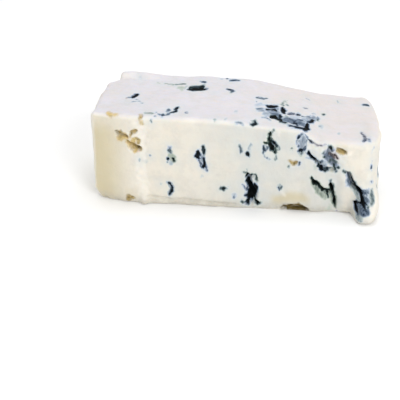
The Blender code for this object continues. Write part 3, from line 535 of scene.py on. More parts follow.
haze = {
    "front": [
        ([(28.3, 36.4, 1.19), (28.3, 34.5, 1.39), (28, 31.8, 1.1)], 0.36, 0.1),
        ([(28, 28.4, 0.92)], 0.24, 0.8),
        ([(30.3, 27.2, 0.72), (32.2, 26.9, 0.92)], 0.29, 0.1),
        ([(40.6, 28.6, 1.17), (41.8, 28.5, 1.57)], 0.55, -0.8),
        ([(40.7, 25.4, 1.21), (42.5, 25.9, 1.33)], 0.55, 0.6),
        ([(38.2, 23.7, 1.01), (38.9, 22.7, 1.22)], 0.41, 0.2),
        ([(38.7, 30.5, 1.2), (38.4, 28.5, 1)], 0.34, 0.5),
        ([(41.4, 21.5, 1.22)], 0.17, 1),
        ([(33.9, 24, 1.21), (35, 21.8, 1.01)], 0.16, 0.8),
        ([(33.3, 30.5, 0.6)], 0.16, 0),
        ([(34.7, 30.3, 0.6)], 0.16, 0),
        ([(49.5, 16.9, 0.94), (51, 14.1, 0.86), (53, 12.2, 1.12), (53.2, 10.7, 1.08),
          (53.9, 10, 0.93), (53.9, 9, 0.74)], 0.42, 0.6),
        ([(56.1, 10.6, 1.5)], 0.62, 0.2),
        ([(55.6, 7.4, 1.29), (55.5, 6.3, 1.75), (55.8, 5.9, 1.47)], 0.64, 0.1),
        ([(54.4, 5.4, 0.93), (54.5, 4.2, 0.93), (54, 2.6, 0.93)], 0.4, 0.6),
        ([(41.8, 11.5, 1.13), (43, 8.3, 1.24), (44, 5.5, 1.07)], 0.36, 1),
        ([(43.9, 10.9, 0.56), (44.4, 8.6, 0.56)], 0.3, 0.9),
        ([(42.4, 4.2, 1.13), (41.3, 1.1, 1.14)], 0.16, 1),
        ([(-15.4, 15.5, 1.19)], 0.2, 0.4),
        ([(-40.6, 21.8, 1.1)], 0.16, 0.6),
        ([(1.5, 30.3, 1.08)], 0.25, 0.7),
        ([(5.5, 28.6, 1.28)], 0.25, 0.5),
        ([(34.6, 14.5, 1.31), (37.3, 12.1, 2.21), (39.8, 8.7, 1.71)], 0.38, 1),
        ([(6.8, 14.6, 0.86)], 0.22, 0),
        ([(2.4, 11.1, 1.03)], 0.12, 0),
        ([(5.2, 10.3, 0.52)], 0.2, 0),
        ([(7.3, 3.8, 0.87)], 0.3, 0.1),
        ([(3, 4.5, 0.87)], 0.2, 0.2),
        ([(9.8, 7.3, 0.87)], 0.1, 0.2),
        ([(-12.5, 13.7, 1.03)], 0.08, -1),
        ([(-29.5, 26.6, 0.99), (-28.9, 24.4, 1.99)], 0.34, 1),
        ([(-29.2, 22.2, 1.59)], 0.26, 0.3),
        ([(-15.9, 28.9, 0.79), (-17.5, 26.1, 1.58), (-15.7, 23.7, 1.79), (-14.5, 21.2, 1.79)], 0.2, 0.1),
        ([(-13.2, 23.5, 0.6)], 0.12, 0),
        ([(-14.6, 18.2, 1.2)], 0.1, 0),
        ([(-11.6, 21.5, 0.8)], 0.12, -0.2),
        ([(13.7, 39.1, 0.55), (13.2, 38.6, 0.42)], 0.2, 0.8),
        ([(14.7, 28.4, 1.54), (14.6, 27.1, 1.26)], 0.08, 0.5),
        ([(15, 27.2, 0.34)], 0.16, 0.6),
        ([(16.3, 23.9, 0.71), (14.8, 22.7, 0.56)], 0.1, -1),
        ([(51.2, 23.4, 0.79)], 0.1, 0.8),
        ([(32.9, 27.8, 1.1), (35.6, 25.1, 1.66), (38, 24.7, 1.83)], 0.4, 0.2),
        ([(38.6, 30.2, 1.46), (40.1, 27.8, 1.74), (41.7, 25.5, 1.75), (43.7, 23.6, 1.29)], 0.48, -0.1),
    ],
    "top": [
        ([(33.6, -26.8, 0.68), (35.9, -26, 0.68), (37.7, -26.2, 0.52)], 0.16, -1),
        ([(-35.6, -5.2, 0.85)], 0.14, 0.5),
        ([(-1.3, -15.1, 1.1)], 0.22, 0.2),
        ([(-5.2, -24.8, 0.98)], 0.2, 0.3),
        ([(44.3, -18.2, 0.9)], 0.28, 0.2),
        ([(36.8, -13.1, 1.21)], 0.24, 0.2),
        ([(7.2, -5.1, 1.35), (9.1, -3.7, 1.36)], 0.23, 0),
        ([(8.5, -10.7, 1.11), (10.1, -10.9, 1.11)], 0.43, 0),
        ([(11.5, -3.2, 0.91), (17.1, -0.6, 0.68)], 0.29, 0),
        ([(11, -13.9, 1.32), (12.6, -14.2, 1.32)], 0.38, 0.05),
        ([(15.8, -14, 1.1)], 0.41, 0.2),
        ([(17.2, -4.5, 0.81), (17.3, -10.3, 0.67)], 0.41, 0),
        ([(20.5, -14.7, 1.1), (20.5, -17.3, 1.09)], 0.49, 0.4),
        ([(23, -13.4, 1.1), (26.3, -12.9, 1.11)], 0.23, 0),
        ([(26.6, -17.9, 1.31), (28.7, -18.1, 1.53)], 0.43, 0),
        ([(23, -19.8, 0.65), (24.6, -22.4, 0.65)], 0.43, 0),
        ([(31.1, -10.9, 1.11), (33.5, -6.1, 1.13)], 0.48, -0.1),
        ([(33.8, -1.8, 0.68)], 0.29, 0),
        ([(6.9, -23.3, 0.86)], 0.41, 0.6),
        ([(-29.1, 10.6, 1.07), (-28, 9.8, 1.07)], 0.22, 0.8),
        ([(-27, 11.1, 0.86), (-26, 11.3, 0.43)], 0.3, 0.3),
        ([(-25.3, 16.2, 1.3), (-19.5, 14.5, 0.86), (-17.2, 11.9, 0.86)], 0.08, 0),
        ([(-13.8, 4.1, 1.47), (-11, 4.9, 1.68)], 0.1, 0),
        ([(-7.1, 11.5, 1.71), (-3.9, 16.9, 1.95)], 0.07, 0),
        ([(-49.1, -5.7, 1.66), (-46.7, -5.1, 1.25)], 0.12, 0.1),
        ([(-51.6, 4.5, 1.28)], 0.06, 0),
        ([(-34, -16.3, 0.6)], 0.1, 0),
        ([(-29.1, -23.5, 1.18)], 0.08, 0),
        ([(-30.4, 9.9, 1.07), (-28.9, 10.5, 1.29), (-28.5, 6.2, 0.85)], 0.22, 0.8),
        ([(-26.6, 11.7, 0.86)], 0.3, 0.3),
        ([(57.8, -15.8, 1.01)], 0.08, 0),
        ([(58.7, -21.8, 0.8)], 0.1, 0),
        ([(44.2, -18.2, 0.8)], 0.1, 0.6),
        ([(12.7, -8.8, 1.42), (15.6, -12.1, 1.81), (17.3, -15.3, 1.6), (20.4, -18.9, 1.39)], 0.52, 0.05),
        ([(21, -16.9, 1.79), (25.1, -17.8, 1.79), (29, -20, 1.58)], 0.52, 0),
        ([(28.5, -14.7, 1.6), (31.6, -11.2, 1.22)], 0.34, 0),
    ],
    "back": [
        ([(-24, 24, 2.5), (-18.5, 15.5, 3.5), (-17, 9, 2.8)], 0.3, 0.3),
        ([(-18.5, 15.5, 2.4), (-11.5, 19, 2)], 0.3, 0.3),
        ([(-28, 26.5, 0.8), (-24, 22, 1.4), (-22, 17, 1.2)], 0.45, 0.1),
        ([(10, 31, 1.8), (15, 22.5, 2.2), (14, 12, 2)], 0.3, 0.7),
        ([(17.5, 27.5, 1.2), (16, 24, 1.6)], 0.5, 0.2),
        ([(33.5, 24, 1.9), (38.5, 14.5, 2.5), (38, 3, 2.5)], 0.3, 0.4),
        ([(42, 20, 1.4), (43.5, 14.5, 2), (42, 8, 1.3)], 0.5, 0.4),
        ([(-48, 15, 2), (-46, 10.5, 2.4)], 0.3, 0.5),
        ([(-38.5, 21, 1.7), (-37.5, 17.5, 1.9)], 0.3, 0.2),
        ([(-6, 8.5, 1.9), (-3.5, 6, 2.2), (-4.5, 3, 1.8)], 0.3, 0.2),
        ([(2, 20.5, 2), (3, 16.5, 2.3)], 0.3, 0.1),
        ([(25.5, 30, 1.9), (27, 25.5, 2.2), (25, 22, 1.8)], 0.3, 0.1),
        ([(49.5, 27, 1.9), (52, 22, 2.1)], 0.3, 0.3),
        ([(25, 8, 0.7)], 0.5, 0.3),
    ],
    "right": [
        ([(-25.8, 12.4, 0.86), (-25.7, 10.8, 0.97), (-25.9, 9.7, 0.96), (-26.3, 9, 0.85)], 0.62, 0.6),
        ([(-9, 27, 1.9), (-4.5, 19, 2.4), (-6.5, 8, 2.3)], 0.3, 0.4),
        ([(7, 21, 2.5), (11, 14, 3)], 0.3, 0.3),
        ([(1, 24, 1.2), (5.5, 22.5, 1.5), (9, 24, 1)], 0.5, 0.1),
        ([(12.5, 11, 2.1), (14, 5.5, 1.9)], 0.3, 0.6),
        ([(-14, 19, 1.9), (-13, 14.5, 2.2)], 0.3, 0.2),
        ([(-1.5, 6, 1.9), (1, 3.5, 1.7)], 0.3, 0.3),
    ],
    "left": [
        ([(15, 12, 1.7), (17.5, 4, 1.7)], 0.3, 0.6),
        ([(-4, 33, 1.9), (-2, 29.5, 2.3)], 0.3, 0.4),
        ([(1, 14, 2), (-1.5, 9, 2.3), (0.5, 5.5, 1.9)], 0.3, 0.2),
        ([(17, 34, 1.9), (19, 30, 2)], 0.3, 0.1),
    ],
}

# Curd: holes that show its yellow inside and how olive they are, the olive partly painted shade and
# in the hollow under the front a painted shadow; then places where it is warmer, some of that painted warm
# shade, where it is paler or carries a painted highlight, and where it crumbles, with a strength from 0 to 1

curdHoles = {
    "front": [
        ([(-49.6, 2.4, 0.94), (-48.8, 3.4, 0.85), (-47.6, 2.6, 0.66)], 0.6),
        ([(23.2, 24.8, 0.3), (25.2, 23.9, 0.66), (26.4, 25, 0.37)], 0.5),
        # painted shadow: these two rows colour the hollow under the front's belly dark olive
        ([(20.5, 0.2, 0.44), (23.8, 1.8, 0.7), (27.8, 3.2, 0.82), (32, 0.5, 0.57)], 1.15),
        ([(23.6, 0.3, 0.82), (27.9, 0.2, 0.95), (31.4, 0.3, 0.7)], 1.15),
        ([(-53.3, 35.1, 0.37), (-51.9, 34.9, 0.71), (-51.6, 33.9, 0.66)], 0.8),
        ([(-50.7, 34.1, 0.57), (-49.6, 34.1, 0.57)], 0.4),
        ([(-52.9, 31.9, 0.57), (-51.2, 31.6, 0.63), (-49, 32.5, 0.63)], 0),
        ([(-48.6, 30.8, 0.71), (-47.3, 30, 1), (-45.5, 32.2, 0.85)], 0.1),
        ([(-44.6, 32.8, 0.51), (-43.4, 32, 0.62), (-43.6, 30.6, 0.57)], 0.5),
        ([(-46.2, 28.5, 0.72), (-45.4, 27.9, 0.66)], 0.3),
        ([(-44.4, 27.7, 0.63), (-44.5, 27.4, 0.57)], 0.85),
        ([(-43, 27.1, 0.43)], 0.5),
        ([(-45.2, 26.7, 0.71)], 0),
        ([(-47.1, 33.6, 0.51), (-47, 34.5, 0.43)], 0.2),
        ([(-46.4, 35.3, 0.51), (-46.3, 36.2, 0.37)], 0.45),
        ([(-45.5, 36.4, 0.57), (-44.2, 36.9, 0.42)], 0.2),
        ([(-41.8, 41.5, 0.3), (-41.5, 40.3, 0.3)], 0.15),
        ([(43.5, 30.7, 0.47), (45.9, 30.3, 0.59), (46.5, 30.4, 0.51)], 0.55),
    ],
    "top": [
        ([(-42.6, -25.8, 0.56), (-42.2, -26.8, 0.34)], 0.4),
        ([(-57.1, -23.9, 0.57), (-56.1, -25.1, 0.71)], 0.1),
        ([(-54.4, -25.5, 0.57), (-53.1, -25.5, 0.37)], 0.1),
    ],
    "back": [
        ([(-47, 30.5, 1.6), (-43.5, 28.5, 2)], 0.4),
        ([(-2.5, 33, 0.8), (-1, 33.4, 0.8)], 0.4),
    ],
    "right": [
        ([(4, 29, 0.8), (5, 29.6, 0.8)], 0.4),
    ],
    "left": [
        ([(6, 26.5, 1.5), (10.5, 24.5, 1.5)], 0.4),
        ([(-10, 13, 0.8), (-8.6, 13.6, 0.8)], 0.4),
    ],
}

warmCurdAndShade = {
    "front": [
        # painted warm shade: this row warms the curd above the hollow under the front's belly
        ([(18.5, 5.3, 2.53), (24.9, 6.9, 3.03), (30.5, 6.5, 2.02)], 0.7),
        ([(19.4, 13.1, 1.5), (20.2, 9, 2.01)], 0.2),
        ([(43.3, 32.9, 0.84), (45.7, 32.7, 0.91)], 0.5),
        ([(-50, 5.8, 2.82), (-46.5, 4.7, 2.35)], 0.3),
        ([(52.6, 2.5, 0.49)], 0.6),
        ([(43, 32.7, 0.7), (44.5, 32.4, 0.98)], 0.5),
    ],
}

paleCurdAndHighlights = {
    "front": [
        ([(30.8, 31.4, 0.91), (32.4, 32.9, 0.91), (35.1, 32.7, 1.45), (37.1, 30.5, 1.09)], 0.8),
        ([(36.4, 27.5, 0.73)], 0.5),
        ([(44.8, 29.7, 0.62), (46.4, 29.6, 0.66)], 0.9),
        # painted highlight: the white just under the pin hole
        ([(25, 22.6, 0.48), (26.1, 23.1, 0.48)], 0.9),
        ([(55.2, 14.6, 0.67), (57.1, 14.5, 0.67), (58.6, 14.1, 0.75)], 0.7),
        ([(47.5, 18.7, 0.48), (48.6, 16.9, 0.48)], 0.5),
        ([(46.8, 2, 0.49), (48.4, 2, 0.42)], 0.6),
        ([(20.3, 10.6, 0.7), (21.7, 7.7, 0.91)], 0.7),
        # painted highlight along the crease's ridge
        ([(-41.6, 39.6, 0.72), (-42.7, 30.2, 0.82), (-43, 20.8, 0.92), (-43.3, 12.8, 1.11)], 0.4),
        ([(-43.1, 8.2, 1.21), (-42, 3.8, 1.41)], 0.8),
        ([(8.7, 13.8, 0.41)], 0.8),
        ([(10.6, 1.6, 0.52)], 0.7),
        ([(-51, 35.7, 0.34), (-49.3, 35.3, 0.34)], 0.8),
        ([(-45.7, 40, 0.84), (-44, 40.8, 0.7)], 0.8),
        ([(-45.4, 34.2, 0.57), (-43.4, 33.9, 0.56)], 0.9),
        ([(-42.2, 38, 0.37)], 0.9),
        ([(-47.9, 27.9, 0.57), (-47.4, 26.7, 0.57)], 0.8),
        ([(-42, 30.9, 0.34), (-41.5, 29.2, 0.34)], 0.7),
        ([(13.4, 36.6, 0.36)], 0.9),
        ([(12.4, 34.6, 0.42)], 0.9),
        ([(11.6, 32.3, 0.42)], 0.8),
        ([(18.3, 38.8, 0.55), (18.1, 37, 0.42)], 0.7),
        ([(14.3, 29.6, 0.84)], 0.4),
        ([(57.2, 33.4, 0.99), (56.8, 31.6, 0.79)], 0.8),
        ([(44.4, 29.7, 0.86), (46.6, 29.4, 0.79), (49.2, 30, 0.79)], 0.9),
        # painted highlight: a broad paler band along the crease
        ([(-42.5, 38, 2.2), (-43, 20, 2.4), (-42, 6, 2.4)], 0.7),
    ],
    "top": [
        ([(-50.4, -26.1, 0.85), (-48.3, -25.7, 0.7)], 0.5),
        ([(-41.1, -26.8, 0.3)], 0.7),
    ],
    "right": [
        ([(-23.3, 11.4, 0.75), (-24.1, 9.7, 0.75), (-25.2, 8.1, 0.74), (-26.1, 6, 0.85),
          (-26.2, 3.7, 1.11), (-26.5, 2, 0.85)], 0.9),
        ([(-25.3, 17.7, 1.12)], 0.6),
        ([(-24.9, 30.4, 0.6)], 0.7),
        ([(-25.2, 19.3, 0.8), (-25.3, 17.2, 0.8)], 0.7),
    ],
}

crumbled = {
    "front": [
        ([(30.8, 31.4, 1.64), (33.4, 32.3, 2), (36.4, 30.8, 1.82)], 1),
        ([(44.7, 28.7, 2.56), (46, 25.6, 2.57)], 0.8),
        ([(33.9, 23.7, 2.2), (41.2, 20.7, 2.39)], 0.7),
        ([(47.6, 18.2, 2.04), (49.3, 13.6, 1.67)], 0.7),
        ([(41.2, 2.2, 2.27), (43.5, 4.7, 1.7)], 0.9),
        ([(-41.9, 41.9, 2.69), (-42.2, 29.2, 2.27), (-42.7, 15.5, 2.78), (-42.6, 4.2, 3.28)], 0.8),
        ([(-46.4, 34.4, 2.72), (-45.6, 28, 2.75)], 0.5),
    ],
    "right": [
        ([(-25.4, 16.8, 2.24), (-24.4, 13.8, 1.87)], 0.8),
    ],
}

surface = {
    # reach, size and seed of the uneven outlines
    "wander": [(0.75, 4.6, 11), (0.45, 2.1, 12), (0.22, 0.9, 13)],
    "wall": (0.25, 1.1),  # the shares of its reach between which a hollow's wall rises
    "uneven": (0.4, 2.6, 21),  # by what share, size and seed the hollows' depth varies
    "lobeSide": (0.15, 1.0),  # the shares of its reach between which a lobe's side falls
    "lobeFade": (4.0, 16.0),  # how far behind its face a lobe ends, in mm
    "swell": (0.7, 17.0, 1),  # height, size and seed
    "crumb": (0.30, 5.5, 2),
    "ragged": (1.5, 4.2, 3),
    "raggedTop": 3.0,
    "raggedStretch": (1, 1, 0.4),
    "underside": -0.9,  # below this share of the normal the cut is flat
    "levelBelow": 4.0,  # so near to the base the relief goes in level, in mm
    "torn": (0.35, 1.3, 31),  # grain inside the hollows
    "tornDeep": (0.3, 1.5),
    "lumps": (0.30, 3.4, 32),  # lumpier curd towards the thin end
    "lumpsFrom": (18.0, 40.0),
    "crumbs": (0.75, 2.3, 36),  # where the curd crumbles
    "crumbsSoft": 1.5,
    "waves": (0.5, 7.0, 33),  # upright waves on the cut sides, calmer at the thick end
    "wavesStretch": (1, 1, 0.22),
    "wavesAtThickEnd": 0.45,
    "wavesFrom": (4.0, 18.0),
    "drag": (0.10, 2.4, 34),  # marks that the wire drew along the top
    "dragStretch": (0.12, 1, 1),
    "grain": (0.05, 0.9, 35),
    "far": -8.0,  # the mould fields stop here, in mm outside a mark
}

faceOutward = {"front": (0, -1, 0), "back": (0, 1, 0), "left": (-1, 0, 0), "right": (1, 0, 0)}


def lobePush(points):
    push = np.zeros_like(points)
    for face, rows in lobes.items():
        outward = np.array(faceOutward[face])
        first, second = faceAxes[face]
        for lobe in rows:
            centre = onFace(face, lobe["at"])
            away = np.hypot(
                (points[:, first] - centre[first]) / lobe["reach"][0],
                (points[:, second] - centre[second]) / lobe["reach"][1],
            )
            behind = (centre - points) @ outward
            fade = lobe.get("fade", surface["lobeFade"])
            share = 1.0 - smoothstep(*surface["lobeSide"], away)
            share = share * (1.0 - smoothstep(*fade, behind))
            if "start" in lobe:
                begin, full, lean = lobe["start"]
                share = share * smoothstep(begin, full, points[:, first] - lean * points[:, second])
            push += outward * (lobe["height"] * share)[:, None]
    return push


def hollowDepth(points, warped):
    depth = np.zeros(len(points))
    for face, rows in hollows.items():
        for _, path, deep in rows:
            away, reach = alongPath(warped, face, path)
            depth = np.maximum(depth, deep * (1.0 - smoothstep(*surface["wall"], away / reach)))
    share, size, seed = surface["uneven"]
    return depth * (1.0 + share * noiseAt(points, size, seed))


def insideMarks(warped, table, count):
    # how far inside its nearest mark each point lies, in mm, and the mark's own values
    fields = np.zeros((len(warped), 1 + count))
    fields[:, 0] = surface["far"]
    for face, marks in table.items():
        for path, *values in marks:
            away, reach = alongPath(warped, face, path)
            nearer = reach - away > fields[:, 0]
            fields[nearer, 0] = (reach - away)[nearer]
            fields[nearer, 1:] = values
    return fields.T


def softMarks(warped, table, spread):
    # strength of the soft marks at each point, and the hue of the strongest of them
    strength = np.zeros(len(warped))
    hue = np.zeros(len(warped))
    for face, marks in table.items():
        for path, strong, *hues in marks:
            away, reach = alongPath(warped, face, path)
            here = strong * smoothstep(-spread, spread, reach - away)
            if hues:
                hue = np.where(here > strength, hues[0], hue)
            strength = np.maximum(strength, here)
    return strength, hue


young = {
    "reach": (0.3, 0.6),
    "across": (-0.5, 0.5),  # how far its other end lies from the first, in mm
    "up": (0.3, 1.4),
    "taper": 0.7,
    "dark": (0.3, 0.7),
    "hue": (0.0, 0.8),
    "blur": 0.4,
    # face, how many, the two spans in which they lie, seed
    "strewn": [
        ("back", 26, (-58.0, 54.0), (3.0, 36.0), 5),
        ("right", 10, (-20.0, 15.0), (3.0, 30.0), 6),
        ("left", 9, (-20.0, 20.0), (3.0, 38.0), 7),
        ("front", 6, (16.0, 50.0), (4.0, 32.0), 8),
        ("top", 6, (-10.0, 52.0), (-12.0, 20.0), 9),
    ],
}


def strewnSpecks(count, spanFirst, spanSecond, seed):
    # faint specks of young mould, scattered over one face
    pick = random.Random(seed)
    specks = []
    for _ in range(count):
        first = pick.uniform(*spanFirst)
        second = pick.uniform(*spanSecond)
        reach = pick.uniform(*young["reach"])
        farFirst = first + pick.uniform(*young["across"])
        farSecond = second + pick.uniform(*young["up"])
        ends = [(first, second, reach), (farFirst, farSecond, young["taper"] * reach)]
        dark = pick.uniform(*young["dark"])
        specks.append((ends, dark, pick.uniform(*young["hue"]), young["blur"]))
    return specks


for face, *scatter in young["strewn"]:
    veins[face] += strewnSpecks(*scatter)

# Spans over which the curd's tints come and go: mm along an axis, or shares of the normal

tints = {
    "upward": (0.5, 0.9),
    "upright": (0.3, 0.8),
    # tanAndShade: the thick end's tan, partly the curd's own tone and partly painted shade on the side
    # turned from the light
    "tanAndShade": 0.8,
    "tanEnd": (-62.0, -45.0),
    "tanLoss": 0.6,  # the share of the tan and its painted shade that is lost over the height below
    "tanTop": (33.0, 41.0),
    "warmSoft": 2.5,
    # baseShade: painted shade, darker and warmer towards the base of the sides, over this height in mm
    "baseShade": (0.5, 5.5),
    "greyFrom": (-36.0, 12.0),
    "greyTo": (45.0, 50.0),
    "leftRimHighlight": (0.2, 0.7),
    "leftRimEnd": (-22.0, -17.0),
    "topRimHighlight": (0.25, 0.6),
    "topRimLoss": 0.7,  # the share of the painted highlight on the top rim that is lost towards the thin end
    "topRimFade": (-10.0, 22.0),
    "topRimLowest": 10.0,
    "broken": (0.65, 0.5, 6.0, 41),  # mean, range, size and seed of the strength of the painted highlight on the top rim
    "markSoft": 0.8,
}


def curdTints(points, normals, warped, upright):
    x, y, z = points.T
    tanAndShade = tints["tanAndShade"] * (1.0 - smoothstep(*tints["tanEnd"], x)) * upright
    tanAndShade = tanAndShade * (1.0 - tints["tanLoss"] * smoothstep(*tints["tanTop"], z))
    grey = smoothstep(*tints["greyFrom"], x) * (1.0 - smoothstep(*tints["greyTo"], x))
    # painted highlight along the rounded edge between the front and the thick end
    leftRimHighlight = smoothstep(*tints["leftRimHighlight"], -normals[:, 0])
    leftRimHighlight = leftRimHighlight * (1.0 - smoothstep(*tints["leftRimEnd"], y))
    # painted highlight along the rounded edge between the front and the top
    topRimHighlight = smoothstep(*tints["topRimHighlight"], normals[:, 2]) * smoothstep(*tints["topRimHighlight"], -normals[:, 1])
    mean, span, size, seed = tints["broken"]
    topRimHighlight = topRimHighlight * (mean + span * noiseAt(points, size, seed)) * (z > tints["topRimLowest"])
    topRimHighlight = topRimHighlight * (1.0 - tints["topRimLoss"] * smoothstep(*tints["topRimFade"], x))
    marked = softMarks(warped, paleCurdAndHighlights, tints["markSoft"])[0]
    # pale: the painted highlights on the two rims, and the paler curd and painted highlights of the marks
    return {
        "warmAndShade": np.maximum(tanAndShade, softMarks(warped, warmCurdAndShade, tints["warmSoft"])[0]),
        "baseShade": (1.0 - smoothstep(*tints["baseShade"], z)) * upright,
        "grey": grey * upright,
        "pale": np.maximum(np.maximum(leftRimHighlight, topRimHighlight), marked),
    }


def writeField(mesh, name, values):
    layer = mesh.attributes.new(name, "FLOAT", "POINT")
    layer.data.foreach_set("value", np.asarray(values, dtype=np.float32))


def buildSlab():
    grid = dividedCube(slab["cells"])
    cube = np.array([vert.co for vert in grid.verts])
    points = slabForm(roundedBlock(cube))
    for vert, point in zip(grid.verts, points):
        vert.co = point
    grid.normal_update()
    normals = np.array([vert.normal for vert in grid.verts])
    print("slab: block of", len(grid.verts), "points shaped")

    shift = sum(reach * warpAt(points, size, seed) for reach, size, seed in surface["wander"])
    shift -= normals * np.sum(shift * normals, axis=1)[:, None]
    warped = points + shift
    pressed = hollowDepth(points, warped)

    upward = smoothstep(*tints["upward"], normals[:, 2])
    upright = 1.0 - smoothstep(*tints["upright"], np.abs(normals[:, 2]))
    toThin = smoothstep(*surface["lumpsFrom"], points[:, 0])
    inHollow = smoothstep(*surface["tornDeep"], pressed)

    def roughness(key, stretch=(1, 1, 1)):
        height, size, seed = surface[key]
        return height * noiseAt(points * stretch, size, seed)

    relief = roughness("swell") + roughness("crumb") + roughness("grain")
    calm = surface["wavesAtThickEnd"]
    wavy = calm + (1.0 - calm) * smoothstep(*surface["wavesFrom"], points[:, 0])
    relief += roughness("waves", surface["wavesStretch"]) * upright * wavy
    relief += roughness("drag", surface["dragStretch"]) * upward
    relief += roughness("lumps") * toThin * upright
    relief += roughness("crumbs") * softMarks(warped, crumbled, surface["crumbsSoft"])[0]
    relief += roughness("torn") * inHollow
    height, size, seed = surface["ragged"]
    chips = np.clip(noiseAt(points * surface["raggedStretch"], size, seed), 0.0, 1.0)
    ragged = height * chips * (1.0 - smoothstep(0.0, surface["raggedTop"], points[:, 2]))
    inward = pressed + ragged - relief
    inward[normals[:, 2] < surface["underside"]] = 0.0

    outward = normals.copy()
    outward[:, 2] *= smoothstep(0.0, surface["levelBelow"], points[:, 2])
    outward /= np.maximum(np.linalg.norm(outward, axis=1), 1e-9)[:, None]
    moved = points - outward * inward[:, None] + lobePush(points)
    moved[:, 2] = np.maximum(moved[:, 2], 0.0)
    middle = (moved.min(axis=0) + moved.max(axis=0)) / 2
    moved[:, :2] -= middle[:2]
    for vert, point in zip(grid.verts, moved * mm):
        vert.co = point
    print("slab: hollows and relief pressed in")

    mesh = bpy.data.meshes.new("gorgonzola")
    grid.to_mesh(mesh)
    grid.free()
    mesh.shade_smooth()
    fields = dict(zip(("vein", "dark", "hue", "blur"), insideMarks(warped, veins, 3)))
    fields["haze"], fields["hazeHue"] = softMarks(warped, haze, tints["markSoft"])
    # curdOliveAndShade: the holes' olive tone, partly painted shade, and the painted shadow in the hollow
    # under the front
    fields["curd"], fields["curdOliveAndShade"] = insideMarks(warped, curdHoles, 1)
    fields["upward"] = upward
    fields.update(curdTints(points, normals, warped, upright))
    for name, values in fields.items():
        writeField(mesh, name, values)
    print("slab: mould marked")
    piece = bpy.data.objects.new("gorgonzola", mesh)
    bpy.context.scene.collection.objects.link(piece)
    return piece, middle


# Curd, mould and how they meet

cheese = {
    "cream": (0.755, 0.712, 0.622),
    "greyCream": (0.640, 0.640, 0.600),
    "topBlue": (0.662, 0.644, 0.702),
    "topPink": (0.680, 0.630, 0.625),
    # the thick end's tan, partly painted shade
    "tanAndShade": (0.600, 0.525, 0.335),
    # pale curd, also the colour of the painted highlights
    "pale": (0.860, 0.830, 0.760),
    # colour of the painted shade at the base of the sides
    "baseShade": (0.520, 0.490, 0.415),
    "patch": (0.585, 0.570, 0.525),
    # oliveAndShade: olive in the holes, partly painted shade, and the painted shadow in the hollow under the
    # front
    "oliveAndShade": (0.135, 0.095, 0.024),
    "straw": (0.640, 0.500, 0.240),
    "halo": (0.560, 0.620, 0.640),
    "edgeNoise": 0.55,  # mm that the fine noise moves the mould's outline
    "spread": 0.22,  # mm that the mould grows past its path's reach
    "bleedReach": 1.4,  # mm over which it fades into the curd, and how dense that fringe is
    "bleed": 0.42,
    "bleedPower": 1.6,
    "fraySize": 1.2,  # mm, as all the sizes of noise below
    "swirlSize": 1.6,
    "mottleSize": 9.0,
    "streakSize": 1.6,
    "patchSize": 5.0,
    "fineSize": 1.1,
    "haloReach": 4.5,
    "haloShare": 0.3,
    "paleShare": 0.6,
    "topShare": 0.9,
    "coveredBetween": (0.02, 0.22),  # densities at which the mould starts to hide the curd, and does
    "roughness": 0.46,
    "mouldRoughness": 0.75,
    "bumpStrength": 0.5,
    "bumpDepth": 0.3,
    "specular": 0.1,
    "subsurface": 0.2,
    "subsurfaceRadius": (2.6, 1.8, 1.2),
    "blueRamp": [
        (0.00, (0.720, 0.735, 0.760)),
        (0.25, (0.440, 0.505, 0.590)),
        (0.50, (0.145, 0.190, 0.260)),
        (0.75, (0.026, 0.042, 0.070)),
        (0.95, (0.002, 0.003, 0.004)),
    ],
    "greenRamp": [
        (0.00, (0.690, 0.710, 0.640)),
        (0.25, (0.420, 0.470, 0.410)),
        (0.50, (0.130, 0.170, 0.145)),
        (0.75, (0.022, 0.040, 0.032)),
        (0.95, (0.002, 0.004, 0.003)),
    ],
    "brownRamp": [
        (0.00, (0.710, 0.690, 0.670)),
        (0.25, (0.490, 0.440, 0.430)),
        (0.50, (0.180, 0.150, 0.150)),
        (0.75, (0.050, 0.040, 0.036)),
        (0.95, (0.006, 0.005, 0.004)),
    ],
}


